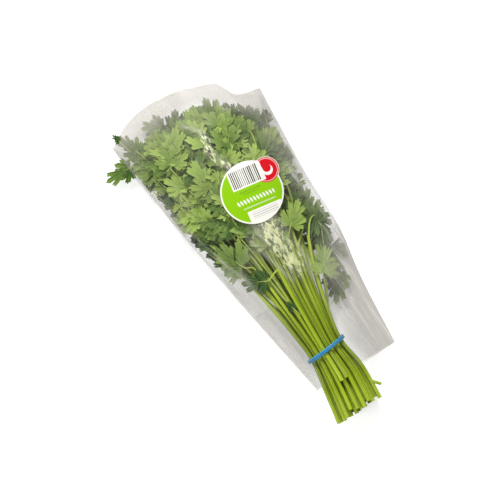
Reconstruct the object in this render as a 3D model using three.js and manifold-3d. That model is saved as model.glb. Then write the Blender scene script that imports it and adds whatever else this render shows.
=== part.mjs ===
// A bunch of flat-leaf parsley, lying down: cut leafy stems held by a rubber band, in a
// tapered film sleeve that is open at both ends and carries a die-cut paper label.
//
// Axes: +Y runs along the bunch from the cut ends to the leaf tips, +X goes across it and
// +Z is up. Every length is in millimetres. The group is moved at the end so that its origin
// is at the middle of the bottom of the whole part's box.

import * as THREE from "three";
import { mergeVertices } from "three/addons/utils/BufferGeometryUtils.js";
import Module from "manifold-3d";

const wasm = await Module();
wasm.setup();

// ---------------------------------------------------------------- driving dimensions

const SEED = 5;

// Stems: how they are packed where the band holds them.
const BAND_Y = 53;
const STEM_PITCH = 4.2;
const STEM_DIAMETER = 3.9;
const STEM_TOP_DIAMETER = 2.2;
const STEM_SIDES = 5;
const PACK_HALF_WIDTH = 15.7;
const PACK_HALF_HEIGHT = 11.3;

// The bundle along its length: the place of its middle, and how far it is spread out
// sideways and upwards against its size in the band.
const BUNDLE = [
  { y: -8, x: -1.5, z: 17.5, wide: 1.38, high: 1.2 },
  { y: 26, x: 3.5, z: 16.8, wide: 1.24, high: 1.1 },
  { y: 53, x: 4.8, z: 16.2, wide: 1.0, high: 1.0 },
  { y: 80, x: 6.8, z: 17.0, wide: 1.2, high: 1.05 },
  { y: 112, x: 9.6, z: 18.2, wide: 1.6, high: 1.16 },
  { y: 135, x: 12.4, z: 19.2, wide: 2.0, high: 1.24 },
  { y: 155, x: 14.0, z: 20.0, wide: 2.45, high: 1.32 },
  { y: 200, x: 16.5, z: 20.5, wide: 3.1, high: 1.36 },
];
const STEM_WANDER = 0.32; // share of the free room beside a stem that it may wander into
const STEM_THINNEST = 0.9; // share of the full diameter
const STATION_ROOM = 8; // a stem has no station closer than this to either of its ends

// Cut ends, and the two stems on top of the bunch that were cut shorter.
const CUT_Y = -7;
const CUT_RAGGED = 8;
const SHORT_CUTS = [
  { x: -1, y: 24 },
  { x: 13, y: 15 },
];
const TOP_ROW = 0.8; // stems above this share of the bundle's height are on top

// Where the stems end and their leaves begin: the outer ones first, the inner ones last.
const FIRST_FROND_Y = 138;
const LAST_FROND_Y = 198;
const FROND_RAGGED = 6;

// Leaves: their sizes, and where in the film they may be.
const BLADE_THICKNESS = 0.7;
const LEAF_LENGTH = { least: 31, most: 44 };
const LEAF_WIDTH = { least: 0.85, most: 1.05 }; // shares of the outline's own width
const LATE_LEAF = 0.75; // share of its length that a leaf has when the head is full
const TILT = { least: 0.04, more: 0.3 }; // radians, in a full head and in an empty one
const HEAD = { low: 158, high: 296 }; // the leaves fill the sleeve between these distances
const ACROSS = { low: 0.03, high: 0.97 }; // and between these shares of its width
const LAYERS = 6;
const FAN = { x: 12, y: 95 }; // the leaves point away from about here
const YAW_SPREAD = 0.7;
const DARTS = 30000; // tries at placing a leaf

// Stalks, which join the leaves to the stems.
const PETIOLE_RADIUS = 0.8;
const ROOT_WIDENING = 1.3; // how much thicker a stalk is where it leaves the stem
const STALK_AHEAD = 0.45; // share of its way that a stalk first goes on along its stem
const STALK_BEHIND = 0.35; // share of its way that it ends with, along its leaf
const STALK_STRAY = 0.12;
const STALK_CHOICES = 10; // stems that are tried for one leaf
const STALK_TRIES = 8; // tries at joining one leaf to one stem
const ROOT_SPREAD = 22; // stalks leave a stem at most this far below its end
const ROOT_SUNK = 3; // the stalk's end, which is in its own stem
const BASE_SUNK = 5; // the stalk's end, which is in its own leaf
const LEAVES_A_STEM = 4;
const EVEN_OUT = 14; // a stem with a leaf more seems this much further away

// A stem that no scattered leaf could be joined to gets a small one of its own.
const OWN_LEAF = { tries: 9000, reach: 34, ahead: 40, eased: 0 };

// Leaves that have places of their own: a spray that hangs back down the right side, one
// that comes out through the split weld and one that looks over the mouth.
const POSED_LEAVES = [
  { x: 58, y: 139, height: 0.75, yaw: 2.9, length: 31, width: 0.85 },
  { x: 54, y: 113, height: 0.45, yaw: 2.75, length: 31, width: 0.85 },
  { x: 43, y: 92, height: 0.2, yaw: 2.5, length: 28, width: 0.8 },
  { x: -56.5, y: 277, height: 0.5, yaw: 1.5, length: 26, width: 0.75, outside: true },
  { x: -37, y: 293, height: 0.75, yaw: 0.35, length: 24, width: 0.8 },
];
const POSED_BEND = { pitch: 0, roll: 0, fold: 0.08, arch: 0.05 };
const SPLIT_ROOM = 4; // the stalk through the split needs no room of its own this near it

// Half of a leaf's outline from its stalk to its tip, in shares of its length: a cut side
// leaflet, a notch down to the rib, then the toothed end leaflet.
const HALF_LEAF = [
  [0.03, 0],
  [0.34, 0.08],
  [0.3, 0.23],
  [0.5, 0.38],
  [0.07, 0.44],
  [0.31, 0.65],
  [0.19, 0.71],
  [0.2, 0.87],
];
const RIB = [0.22, 0.44, 1]; // points along the rib, in shares of the length
const RIB_OF_EDGE = [0, 0, 0, 1, 1, 1, 1, 1]; // the rib point that each outline point joins

// Rubber band.
const BAND_WIDTH = 3.4;
const BAND_THICKNESS = 1.2;
const BAND_GAP = 0.45;
const BAND_SIDES = 32;

// Film sleeve.
const FILM_WALL = 0.6;
const SLEEVE_LEFT = { y: 28, x: -21.4, slope: -0.1065, bulge: 2.4, length: 270 };
const SLEEVE_RIGHT = { y: 24.5, x: 57.3, slope: 0.1105, bulge: 4.3, bulgeY: 135, spread: 34 };
const SLEEVE_BODY = [
  { y: 20, high: 35, seam: 11, peak: 0.33, fall: 1.2 },
  { y: 53, high: 34.5, seam: 10, peak: 0.34, fall: 1.2 },
  { y: 100, high: 36, seam: 10, peak: 0.37, fall: 1.05 },
  { y: 145, high: 39, seam: 11, peak: 0.43, fall: 0.85 },
  { y: 195, high: 42, seam: 12, peak: 0.49, fall: 0.66 },
  { y: 240, high: 38, seam: 11, peak: 0.5, fall: 0.64 },
  { y: 280, high: 28, seam: 9, peak: 0.5, fall: 0.66 },
  { y: 320, high: 18, seam: 7, peak: 0.5, fall: 0.7 },
];
const LEFT_RISE = 0.5; // how bluntly the upper sheet turns over at the left edge
const UNDER_RISE = 0.6; // and the lower sheet at both edges
const FLAT_FROM = 0.13; // the underside lies flat between these shares of the width
const FLAT_TO = 0.9;
const MOUTH = [
  { s: 0, y: 299 },
  { s: 0.15, y: 310 },
  { s: 0.33, y: 312 },
  { s: 0.6, y: 307 },
  { s: 0.78, y: 296 },
  { s: 0.87, y: 278 },
  { s: 1, y: 270 },
];
const SPLIT_Y = 238; // the left weld is split open from here to the mouth
const TOP_SHARES = [0, 0.018, 0.05, 0.1, 0.17, 0.26, 0.36, 0.46, 0.56, 0.66, 0.76, 0.85, 0.93, 0.98];
const UNDER_SHARES = [1, 0.97, FLAT_TO, FLAT_FROM, 0.05, 0.018];
const SLEEVE_STEPS = 12;

// Label: one piece of paper, a large disc with a smaller one that shows beside it.
const LABEL = { x: 27.9, y: 199.5, radius: 27 };
const BADGE = { x: 48.5, y: 208.6, radius: 11.3 };
const LABEL_THICKNESS = 0.6;
const LABEL_LIFT = 0.75;
const LABEL_SPOKES = 32;
const LABEL_RINGS = [0.5, 1]; // shares of the way from the middle to the edge

// ---------------------------------------------------------------- small helpers

// A repeatable stream of numbers from 0 to 1.
function seeded(seed) {
  let state = seed >>> 0;
  return () => {
    state = (Math.imul(state, 1664525) + 1013904223) >>> 0;
    return state / 4294967296;
  };
}

const random = seeded(SEED);
const between = (least, most) => least + (most - least) * random();
const degrees = (angle) => (angle * Math.PI) / 180;
const vector = (x, y, z) => new THREE.Vector3(x, y, z);

// The value of one column of a station list at a place along it, on a smooth curve.
function along(stations, place, column, key = "y") {
  const last = stations.length - 1;
  let i = 0;
  while (i < last - 1 && place > stations[i + 1][key]) i += 1;
  const [a, b] = [stations[i], stations[i + 1]];
  const span = b[key] - a[key];
  const slopeAt = (k) => {
    const before = stations[Math.max(0, k - 1)];
    const after = stations[Math.min(last, k + 1)];
    return (after[column] - before[column]) / (after[key] - before[key]);
  };
  const t = Math.min(1, Math.max(0, (place - a[key]) / span));
  const t2 = t * t;
  const t3 = t2 * t;
  return (
    (2 * t3 - 3 * t2 + 1) * a[column] +
    (t3 - 2 * t2 + t) * span * slopeAt(i) +
    (3 * t2 - 2 * t3) * b[column] +
    (t3 - t2) * span * slopeAt(i + 1)
  );
}

function geometryOf(points, triangles) {
  const positions = new Float32Array(points.length * 3);
  points.forEach((p, i) => p.toArray(positions, i * 3));
  const geometry = new THREE.BufferGeometry();
  geometry.setAttribute("position", new THREE.BufferAttribute(positions, 3));
  geometry.setIndex(triangles);
  return geometry;
}

function solidOf(geometry) {
  const merged = mergeVertices(geometry, 1e-4);
  return new wasm.Manifold(
    new wasm.Mesh({
      numProp: 3,
      vertProperties: merged.attributes.position.array,
      triVerts: new Uint32Array(merged.index.array),
    }),
  );
}

function geometryFrom(solid) {
  const mesh = solid.getMesh();
  const geometry = new THREE.BufferGeometry();
  geometry.setAttribute("position", new THREE.BufferAttribute(mesh.vertProperties, 3));
  geometry.setIndex(new THREE.BufferAttribute(mesh.triVerts, 1));
  return geometry;
}

// A closed body through rings of points that turn anticlockwise about the way they follow.
function loft(rings) {
  const sides = rings[0].length;
  const points = rings.flat();
  const triangles = [];
  for (let r = 0; r + 1 < rings.length; r += 1) {
    for (let k = 0; k < sides; k += 1) {
      const a = r * sides + k;
      const b = r * sides + ((k + 1) % sides);
      triangles.push(a, b, b + sides, a, b + sides, a + sides);
    }
  }
  const end = (rings.length - 1) * sides;
  for (let k = 1; k + 1 < sides; k += 1) {
    triangles.push(0, k + 1, k);
    triangles.push(end, end + k, end + k + 1);
  }
  return geometryOf(points, triangles);
}

// A round ring of points about a place on a tube.
function ringAbout(centre, heading, radius, sides) {
  const across = vector(heading.y, -heading.x, 0).normalize();
  const upwards = heading.clone().cross(across).normalize();
  return Array.from({ length: sides }, (_, k) => {
    const angle = (2 * Math.PI * k) / sides;
    return centre
      .clone()
      .addScaledVector(across, radius * Math.cos(angle))
      .addScaledVector(upwards, radius * Math.sin(angle));
  });
}

// A tube through points, with a radius at each of them.
function tube(points, radii, sides) {
  const rings = points.map((point, i) => {
    const before = points[Math.max(0, i - 1)];
    const after = points[Math.min(points.length - 1, i + 1)];
    return ringAbout(point, after.clone().sub(before).normalize(), radii[i], sides);
  });
  return loft(rings);
}

// ---------------------------------------------------------------- the film's surface

function leftEdge(y) {
  const share = Math.min(1, Math.max(0, (y - SLEEVE_LEFT.y) / SLEEVE_LEFT.length));
  const bulge = SLEEVE_LEFT.bulge * Math.sin(Math.PI * share);
  return SLEEVE_LEFT.x + SLEEVE_LEFT.slope * (y - SLEEVE_LEFT.y) - bulge;
}

function rightEdge(y) {
  const away = (y - SLEEVE_RIGHT.bulgeY) / SLEEVE_RIGHT.spread;
  const bulge = SLEEVE_RIGHT.bulge * Math.exp(-away * away);
  return SLEEVE_RIGHT.x + SLEEVE_RIGHT.slope * (y - SLEEVE_RIGHT.y) + bulge;
}

const shareAcross = (x, y) => (x - leftEdge(y)) / (rightEdge(y) - leftEdge(y));

// Height of the middle of the upper sheet, at a share of the width.
function filmTop(share, y) {
  const high = along(SLEEVE_BODY, y, "high");
  const seam = along(SLEEVE_BODY, y, "seam");
  const peak = along(SLEEVE_BODY, y, "peak");
  const fall = along(SLEEVE_BODY, y, "fall");
  const s = Math.min(1, Math.max(0, share));
  const arch =
    s < peak
      ? Math.sin((Math.PI / 2) * (s / peak)) ** LEFT_RISE
      : Math.max(0, Math.cos((Math.PI / 2) * ((s - peak) / (1 - peak)))) ** fall;
  return seam + (high - FILM_WALL / 2 - seam) * arch;
}

// Height of the middle of the lower sheet, at a share of the width.
function filmUnder(share, y) {
  const seam = along(SLEEVE_BODY, y, "seam");
  const flat = FILM_WALL / 2;
  const s = Math.min(1, Math.max(0, share));
  const inwards = Math.min(1, s / FLAT_FROM, (1 - s) / (1 - FLAT_TO));
  return seam - (seam - flat) * Math.sin((Math.PI / 2) * inwards) ** UNDER_RISE;
}

// ---------------------------------------------------------------- room in the bunch

// A grid of small cells that notes what fills each one: a stem, by its number, or something
// that nothing else may cross, such as a leaf, the film and what is outside it.
const CELL = 0.75;
const GRID_LOW = [-72, -12, -1];
const GRID_CELLS = [230, 440, 62];
const BLOCKED = -1;
const owners = new Int16Array(GRID_CELLS[0] * GRID_CELLS[1] * GRID_CELLS[2]);

const FILM_ROOM = 1.5; // from the middle of the film to the middle of a leaf
const MOUTH_ROOM = 11; // from the mouth down to the nearest leaf tip
const SIDE_ROOM = 0.03;

const cellIndex = (i, j, k) => (i * GRID_CELLS[1] + j) * GRID_CELLS[2] + k;
const cellAlong = (place, axis) => Math.floor((place - GRID_LOW[axis]) / CELL);
const cellMiddle = (cell, axis) => GRID_LOW[axis] + (cell + 0.5) * CELL;

function blockOutsideFilm() {
  for (let i = 0; i < GRID_CELLS[0]; i += 1) {
    for (let j = 0; j < GRID_CELLS[1]; j += 1) {
      const y = cellMiddle(j, 1);
      const share = shareAcross(cellMiddle(i, 0), y);
      const within = share > SIDE_ROOM && share < 1 - SIDE_ROOM;
      const inMouth = y < along(MOUTH, share, "y", "s") - MOUTH_ROOM;
      const low = filmUnder(share, y) + FILM_ROOM;
      const high = filmTop(share, y) - FILM_ROOM;
      for (let k = 0; k < GRID_CELLS[2]; k += 1) {
        const z = cellMiddle(k, 2);
        if (!(within && inMouth && z > low && z < high)) owners[cellIndex(i, j, k)] = BLOCKED;
      }
    }
  }
}

// Marks the cells at and next to each point. A cell that two owners want is closed to both.
function fill(points, owner) {
  const steps = [-1, 0, 1];
  const nearby = steps.flatMap((a) => steps.flatMap((b) => steps.map((c) => [a, b, c])));
  for (const point of points) {
    const middle = [point.x, point.y, point.z].map(cellAlong);
    for (const [a, b, c] of nearby) {
      const cell = cellIndex(middle[0] + a, middle[1] + b, middle[2] + c);
      if (owners[cell] === 0) owners[cell] = owner;
      else if (owners[cell] !== owner) owners[cell] = BLOCKED;
    }
  }
}

// Whether nothing else is at the points. A stalk may pass through cells of its own stem.
const isFree = (points, owner = 0) =>
  points.every((point) => {
    const cell = [point.x, point.y, point.z].map(cellAlong);
    if (cell.some((place, axis) => place < 1 || place > GRID_CELLS[axis] - 2)) return false;
    const held = owners[cellIndex(...cell)];
    return held === 0 || held === owner;
  });

// ---------------------------------------------------------------- stems

// The stems' places in the band, packed in rows as round stems pack.
function bandPlaces() {
  const places = [];
  const rowHeight = STEM_PITCH * Math.sin(degrees(60));
  const rows = Math.floor(PACK_HALF_HEIGHT / rowHeight);
  for (let row = -rows; row <= rows; row += 1) {
    const z = row * rowHeight;
    const shift = row % 2 === 0 ? 0 : STEM_PITCH / 2;
    for (let column = -6; column <= 6; column += 1) {
      const x = column * STEM_PITCH + shift;
      if ((x / PACK_HALF_WIDTH) ** 2 + (z / PACK_HALF_HEIGHT) ** 2 <= 1) places.push({ x, z });
    }
  }
  return places;
}

// One stem: its number, its place in the band, its two ends, how it wanders and its leaves.
function makeStem(place, index) {
  const thickness = between(STEM_THINNEST, 1);
  const short = SHORT_CUTS.find(
    (cut) => place.z > TOP_ROW * PACK_HALF_HEIGHT && Math.abs(place.x - cut.x) < STEM_PITCH,
  );
  const ragged = CUT_RAGGED * random() ** 2;
  const inwards = 1 - Math.hypot(place.x / PACK_HALF_WIDTH, place.z / PACK_HALF_HEIGHT);
  const reach = FIRST_FROND_Y + (LAST_FROND_Y - FIRST_FROND_Y) * inwards;
  const topY = reach + between(-FROND_RAGGED, FROND_RAGGED);
  const wander = { x: between(-1, 1), z: between(-1, 1) };
  const cutY = short ? short.y : CUT_Y + ragged;
  return { owner: index + 1, place, thickness, wander, cutY, topY, leaves: [] };
}

// The middle of a stem at a distance along the bunch.
function stemPoint(stem, y) {
  const wide = along(BUNDLE, y, "wide");
  const high = along(BUNDLE, y, "high");
  const roomX = STEM_PITCH * wide - stemDiameter(stem, y);
  const roomZ = STEM_PITCH * high * Math.sin(degrees(60)) - stemDiameter(stem, y);
  return vector(
    along(BUNDLE, y, "x") + stem.place.x * wide + STEM_WANDER * stem.wander.x * Math.max(0, roomX),
    y,
    along(BUNDLE, y, "z") + stem.place.z * high + STEM_WANDER * stem.wander.z * Math.max(0, roomZ),
  );
}

function stemDiameter(stem, y) {
  const share = Math.min(1, Math.max(0, (y - BAND_Y) / (LAST_FROND_Y - BAND_Y)));
  return stem.thickness * (STEM_DIAMETER + (STEM_TOP_DIAMETER - STEM_DIAMETER) * share);
}

const stemHeading = (stem, y) =>
  stemPoint(stem, y + 1).sub(stemPoint(stem, y - 1)).normalize();

function stemPlaces(stem) {
  const inner = BUNDLE.map((station) => station.y).filter(
    (y) => y > stem.cutY + STATION_ROOM && y < stem.topY - STATION_ROOM,
  );
  return [stem.cutY, ...inner, stem.topY];
}

function stemTube(stem) {
  const places = stemPlaces(stem);
  const points = places.map((y) => stemPoint(stem, y));
  const radii = places.map((y) => stemDiameter(stem, y) / 2);
  return tube(points, radii, STEM_SIDES);
}

// Points on the stem's surface and along its middle.
function stemSamples(stem) {
  const places = stemPlaces(stem);
  const points = places.map((y) => stemPoint(stem, y));
  const middle = samplesAlong(points);
  const around = middle.flatMap((point) =>
    ringAbout(point, vector(0, 1, 0), stemDiameter(stem, point.y) / 2, 6),
  );
  return [...middle, ...around];
}

// ---------------------------------------------------------------- leaves

// Points along a line of points, no further apart than the step.
const SAMPLE_STEP = 0.7;

function samplesAlong(points) {
  const samples = [];
  for (let i = 0; i + 1 < points.length; i += 1) {
    const n = Math.max(1, Math.ceil(points[i].distanceTo(points[i + 1]) / SAMPLE_STEP));
    for (let k = 0; k <= n; k += 1) samples.push(points[i].clone().lerp(points[i + 1], k / n));
  }
  return samples;
}

// A unit vector that points along an angle in plan, turned up or down by a pitch.
const pointing = (yaw, pitch) =>
  vector(-Math.sin(yaw) * Math.cos(pitch), Math.cos(yaw) * Math.cos(pitch), Math.sin(pitch));

// Height at a share of the room between the two sheets of film.
function heightInFilm(share, x, y) {
  const across = shareAcross(x, y);
  const low = filmUnder(across, y) + FILM_ROOM;
  return low + share * (filmTop(across, y) - FILM_ROOM - low);
}

// A blade that lies as the film does at its middle, but for its own turns.
const SLOPE_STEP = 4;

function bladePose(middle, turn) {
  const ahead = vector(-Math.sin(turn.yaw), Math.cos(turn.yaw), 0);
  const level = vector(Math.cos(turn.yaw), Math.sin(turn.yaw), 0);
  const z = heightInFilm(middle.height, middle.x, middle.y);
  const heightAt = (way, step) =>
    heightInFilm(middle.height, middle.x + step * way.x, middle.y + step * way.y);
  const slope = (way) =>
    (heightAt(way, SLOPE_STEP) - heightAt(way, -SLOPE_STEP)) / (2 * SLOPE_STEP);
  const forward = pointing(turn.yaw, Math.atan(slope(ahead)) + turn.pitch);
  const roll = Math.atan(slope(level)) + turn.roll;
  const up = level.clone().cross(forward).normalize();
  const side = level.clone().multiplyScalar(Math.cos(roll)).addScaledVector(up, Math.sin(roll));
  const normal = side.clone().cross(forward).normalize();
  const base = vector(middle.x, middle.y, z).addScaledVector(forward, -0.5 * turn.length);
  return { ...turn, base, forward, side, normal };
}

// The place on a leaf of a point of its outline, given in shares of its length.
function leafPoint(pose, across, forwards, lift) {
  const bend = pose.fold * Math.abs(across) - pose.arch * forwards * forwards;
  return pose.base
    .clone()
    .addScaledVector(pose.side, across * pose.width * pose.length)
    .addScaledVector(pose.forward, forwards * pose.length)
    .addScaledVector(pose.normal, bend * pose.length + lift);
}

// The leaf's points: the rib first, then both halves of the outline.
function leafPlan() {
  const plan = RIB.map((y) => [0, y]);
  const half = (hand) => HALF_LEAF.map(([x, y]) => [hand * x, y]);
  return [...plan, ...half(1), ...half(-1)];
}

// Triangles over the plan, from the outline to the rib, for each half, and over the stalk end.
function leafTriangles() {
  const count = HALF_LEAF.length;
  const tip = RIB.length - 1;
  const [rightBase, leftBase] = [RIB.length, RIB.length + count];
  const triangles = [[leftBase, rightBase, 0]];
  [0, 1].forEach((half) => {
    const edge = [...HALF_LEAF.map((_, k) => RIB.length + half * count + k), tip];
    const ribs = [...RIB_OF_EDGE, RIB_OF_EDGE[count - 1]];
    const add = (a, b, c) => triangles.push(half === 0 ? [a, b, c] : [a, c, b]);
    for (let k = 0; k + 1 < edge.length; k += 1) {
      add(edge[k], edge[k + 1], ribs[k]);
      if (ribs[k + 1] !== ribs[k]) add(edge[k + 1], ribs[k + 1], ribs[k]);
    }
  });
  return triangles;
}

const LEAF_PLAN = leafPlan();
const LEAF_TRIANGLES = leafTriangles();

// The outline's points in order, from the right of the stalk round the tip to its left.
function leafEdge() {
  const count = HALF_LEAF.length;
  const right = HALF_LEAF.map((_, k) => RIB.length + k);
  const left = HALF_LEAF.map((_, k) => RIB.length + count + k).reverse();
  return [...right, RIB.length - 1, ...left];
}

// A leaf with its stalk: the same triangles above and below, joined by a wall along the edge,
// and a four-sided stalk that runs from the blade's end to the middle of the stem.
function stalkedLeaf(pose) {
  const half = BLADE_THICKNESS / 2;
  const upper = LEAF_PLAN.map(([x, y]) => leafPoint(pose, x, y, half));
  const lower = LEAF_PLAN.map(([x, y]) => leafPoint(pose, x, y, -half));
  const count = LEAF_PLAN.length;
  const triangles = [];
  for (const [a, b, c] of LEAF_TRIANGLES) {
    triangles.push(a, b, c);
    triangles.push(count + a, count + c, count + b);
  }
  const edge = leafEdge();
  for (let k = 0; k + 1 < edge.length; k += 1) {
    const [a, b] = [edge[k], edge[k + 1]];
    triangles.push(a, count + a, count + b, a, count + b, b);
  }
  const [right, left] = [edge[0], edge[edge.length - 1]];
  let ring = [left, right, count + right, count + left];
  const points = [...upper, ...lower];
  const rootWay = pose.knee.clone().sub(pose.root).normalize();
  const kneeWay = pose.base.clone().sub(pose.knee).normalize().add(rootWay).normalize();
  const stalk = [
    { place: pose.knee, way: kneeWay, radius: PETIOLE_RADIUS },
    { place: pose.root, way: rootWay, radius: ROOT_WIDENING * PETIOLE_RADIUS },
  ];
  for (const { place, way, radius } of stalk) {
    const start = points.length;
    points.push(...stalkRing(pose, place, way, radius));
    ring.forEach((a, k) => {
      const [b, c, d] = [ring[(k + 1) % 4], start + ((k + 1) % 4), start + k];
      triangles.push(a, d, c, a, c, b);
    });
    ring = [start, start + 1, start + 2, start + 3];
  }
  const [a, b, c, d] = ring;
  triangles.push(a, d, c, a, c, b);
  return geometryOf(points, triangles);
}

// Four corners about a place on the stalk, in the order of the blade's end.
function stalkRing(pose, place, way, radius) {
  const up = pose.normal.clone().addScaledVector(way, -pose.normal.dot(way)).normalize();
  const side = way.clone().cross(up);
  return [[-1, 1], [1, 1], [1, -1], [-1, -1]].map(([across, above]) =>
    place
      .clone()
      .addScaledVector(side, across * radius * Math.SQRT1_2)
      .addScaledVector(up, above * radius * Math.SQRT1_2),
  );
}

// Places over the leaf's plan, close enough together for the largest leaf.
function planSamples() {
  const outline = leafEdge().map((k) => LEAF_PLAN[k]);
  const step = SAMPLE_STEP / LEAF_LENGTH.most;
  const samples = [];
  outline.forEach(([x0, y0], k) => {
    const [x1, y1] = outline[(k + 1) % outline.length];
    const n = Math.ceil(Math.hypot(x1 - x0, y1 - y0) / step);
    for (let i = 0; i < n; i += 1) {
      samples.push([x0 + ((x1 - x0) * i) / n, y0 + ((y1 - y0) * i) / n]);
    }
  });
  const inside = (x, y) => {
    let crossings = 0;
    outline.forEach(([x0, y0], k) => {
      const [x1, y1] = outline[(k + 1) % outline.length];
      if (y0 > y !== y1 > y && x < x0 + ((y - y0) * (x1 - x0)) / (y1 - y0)) crossings += 1;
    });
    return crossings % 2 === 1;
  };
  const reach = Math.ceil(1 / step);
  for (let i = -reach; i <= reach; i += 1) {
    for (let j = 0; j <= reach; j += 1) {
      if (inside(i * step, j * step)) samples.push([i * step, j * step]);
    }
  }
  return samples;
}

const PLAN_SAMPLES = planSamples();

const leafSamples = (pose) => PLAN_SAMPLES.map(([x, y]) => leafPoint(pose, x, y, 0));

// Points in and around the stalk, but for the ends in its own stem and its own leaf.
function stalkSamples(pose) {
  const middle = samplesAlong([pose.root, pose.knee, pose.base]).filter(
    (point) => point.distanceTo(pose.root) > ROOT_SUNK && point.distanceTo(pose.base) > BASE_SUNK,
  );
  const way = pose.base.clone().sub(pose.root).normalize();
  const radius = PETIOLE_RADIUS * Math.SQRT1_2;
  return middle.flatMap((point) => [point, ...ringAbout(point, way, radius, 4)]);
}

// A leaf at one of the places of its own.
const posedLeaf = ({ x, y, height, ...turn }) =>
  bladePose({ x, y, height }, { ...POSED_BEND, ...turn });

// A leaf at a place in plan, in any layer. How eased it is sets its size and its tilt.
function looseLeaf(x, y, eased) {
  const tilt = TILT.least + TILT.more * eased;
  const layer = Math.floor(LAYERS * random());
  const height = (layer + between(0.3, 0.7)) / LAYERS;
  const share = LATE_LEAF + (1 - LATE_LEAF) * eased;
  const turn = {
    yaw: Math.atan2(FAN.x - x, y - FAN.y) + between(-YAW_SPREAD, YAW_SPREAD),
    pitch: tilt * between(-1, 1),
    roll: tilt * between(-1, 1),
    length: share * between(LEAF_LENGTH.least, LEAF_LENGTH.most),
    width: between(LEAF_WIDTH.least, LEAF_WIDTH.most),
    fold: tilt * between(-0.2, 0.6),
    arch: tilt * between(-0.3, 0.6),
  };
  return bladePose({ x, y, height }, turn);
}

// A leaf anywhere in the head.
function scatteredLeaf(eased) {
  const y = between(HEAD.low, HEAD.high);
  const across = between(ACROSS.low, ACROSS.high);
  return looseLeaf(leftEdge(y) + across * (rightEdge(y) - leftEdge(y)), y, eased);
}

// A leaf near the end of a stem.
function ownLeaf(stem) {
  const end = stemPoint(stem, stem.topY);
  const x = end.x + between(-OWN_LEAF.reach, OWN_LEAF.reach);
  return looseLeaf(x, end.y + between(0, OWN_LEAF.ahead), OWN_LEAF.eased);
}

// Joins a leaf to a stem by a stalk that touches nothing else, or gives nothing back.
function joinedTo(stem, pose) {
  for (let attempt = 0; attempt < STALK_TRIES; attempt += 1) {
    const rootY = stem.topY - (stem.leaves.length === 0 ? 1 : between(1, ROOT_SPREAD));
    const root = stemPoint(stem, rootY);
    const away = root.distanceTo(pose.base);
    const ahead = root.clone().addScaledVector(stemHeading(stem, rootY), STALK_AHEAD * away);
    const behind = pose.base.clone().addScaledVector(pose.forward, -STALK_BEHIND * away);
    const stray = STALK_STRAY * away;
    const knee = ahead
      .lerp(behind, between(0.3, 0.7))
      .add(vector(between(-stray, stray), between(-stray, stray), between(-stray, stray)));
    const joined = { ...pose, root, knee };
    const samples = stalkSamples(joined);
    const inFilm = (point) => point.x > leftEdge(point.y) + SPLIT_ROOM;
    const tested = pose.outside ? samples.filter(inFilm) : samples;
    if (isFree(tested, stem.owner)) return { joined, samples };
  }
  return null;
}

// Hangs a leaf on the nearest stem that it can be joined to.
function hang(pose, stems) {
  const distance = (stem) =>
    stemPoint(stem, stem.topY).distanceTo(pose.base) + EVEN_OUT * stem.leaves.length;
  const nearest = stems
    .filter((stem) => stem.leaves.length < LEAVES_A_STEM)
    .sort((a, b) => distance(a) - distance(b) || a.owner - b.owner)
    .slice(0, STALK_CHOICES);
  for (const stem of nearest) {
    const found = joinedTo(stem, pose);
    if (!found) continue;
    fill([...leafSamples(pose), ...found.samples], BLOCKED);
    stem.leaves.push(found.joined);
    return true;
  }
  return false;
}

// ---------------------------------------------------------------- the bunch

function growBunch() {
  blockOutsideFilm();
  const stems = bandPlaces().map(makeStem);
  stems.forEach((stem) => fill(stemSamples(stem), stem.owner));
  POSED_LEAVES.forEach((posed) => hang(posedLeaf(posed), stems));
  const tryLeaf = (pose, choices) => isFree(leafSamples(pose)) && hang(pose, choices);
  for (let dart = 0; dart < DARTS; dart += 1) {
    tryLeaf(scatteredLeaf((1 - dart / DARTS) ** 2), stems);
  }
  for (const stem of stems) {
    for (let attempt = 0; attempt < OWN_LEAF.tries && stem.leaves.length === 0; attempt += 1) {
      tryLeaf(ownLeaf(stem), [stem]);
    }
  }
  return stems;
}

// A stem and its leaves as one body.
const leafyStem = (stem) =>
  geometryFrom(
    stem.leaves.reduce(
      (solid, pose) => solid.add(solidOf(stalkedLeaf(pose))),
      solidOf(stemTube(stem)),
    ),
  );

// ---------------------------------------------------------------- sleeve, band and label

// The film's section at a share of the way up each line of the sleeve, pushed out by a lift.
function sleeveRing(step, lift) {
  const shares = [
    ...TOP_SHARES.map((s) => ({ s, height: filmTop, out: 1 })),
    ...UNDER_SHARES.map((s) => ({ s, height: filmUnder, out: -1 })),
  ];
  const middle = shares.map(({ s, height }) => {
    const low = SLEEVE_LEFT.y + (SLEEVE_RIGHT.y - SLEEVE_LEFT.y) * s;
    const mouth = s === 0 ? SPLIT_Y : along(MOUTH, s, "y", "s");
    const y = low + ((mouth - low) * step) / SLEEVE_STEPS;
    return vector(leftEdge(y) + s * (rightEdge(y) - leftEdge(y)), y, height(s, y));
  });
  const count = middle.length;
  return middle.map((point, k) => {
    const before = middle[(k + count - 1) % count];
    const after = middle[(k + 1) % count];
    const alongRing = vector(after.x - before.x, 0, after.z - before.z).normalize();
    const outwards = vector(-alongRing.z, 0, alongRing.x);
    const moved = point.clone().addScaledVector(outwards, lift);
    const flat = point.z <= FILM_WALL / 2 + 1e-6;
    if (flat) moved.z = point.z - lift;
    return moved;
  });
}

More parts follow.
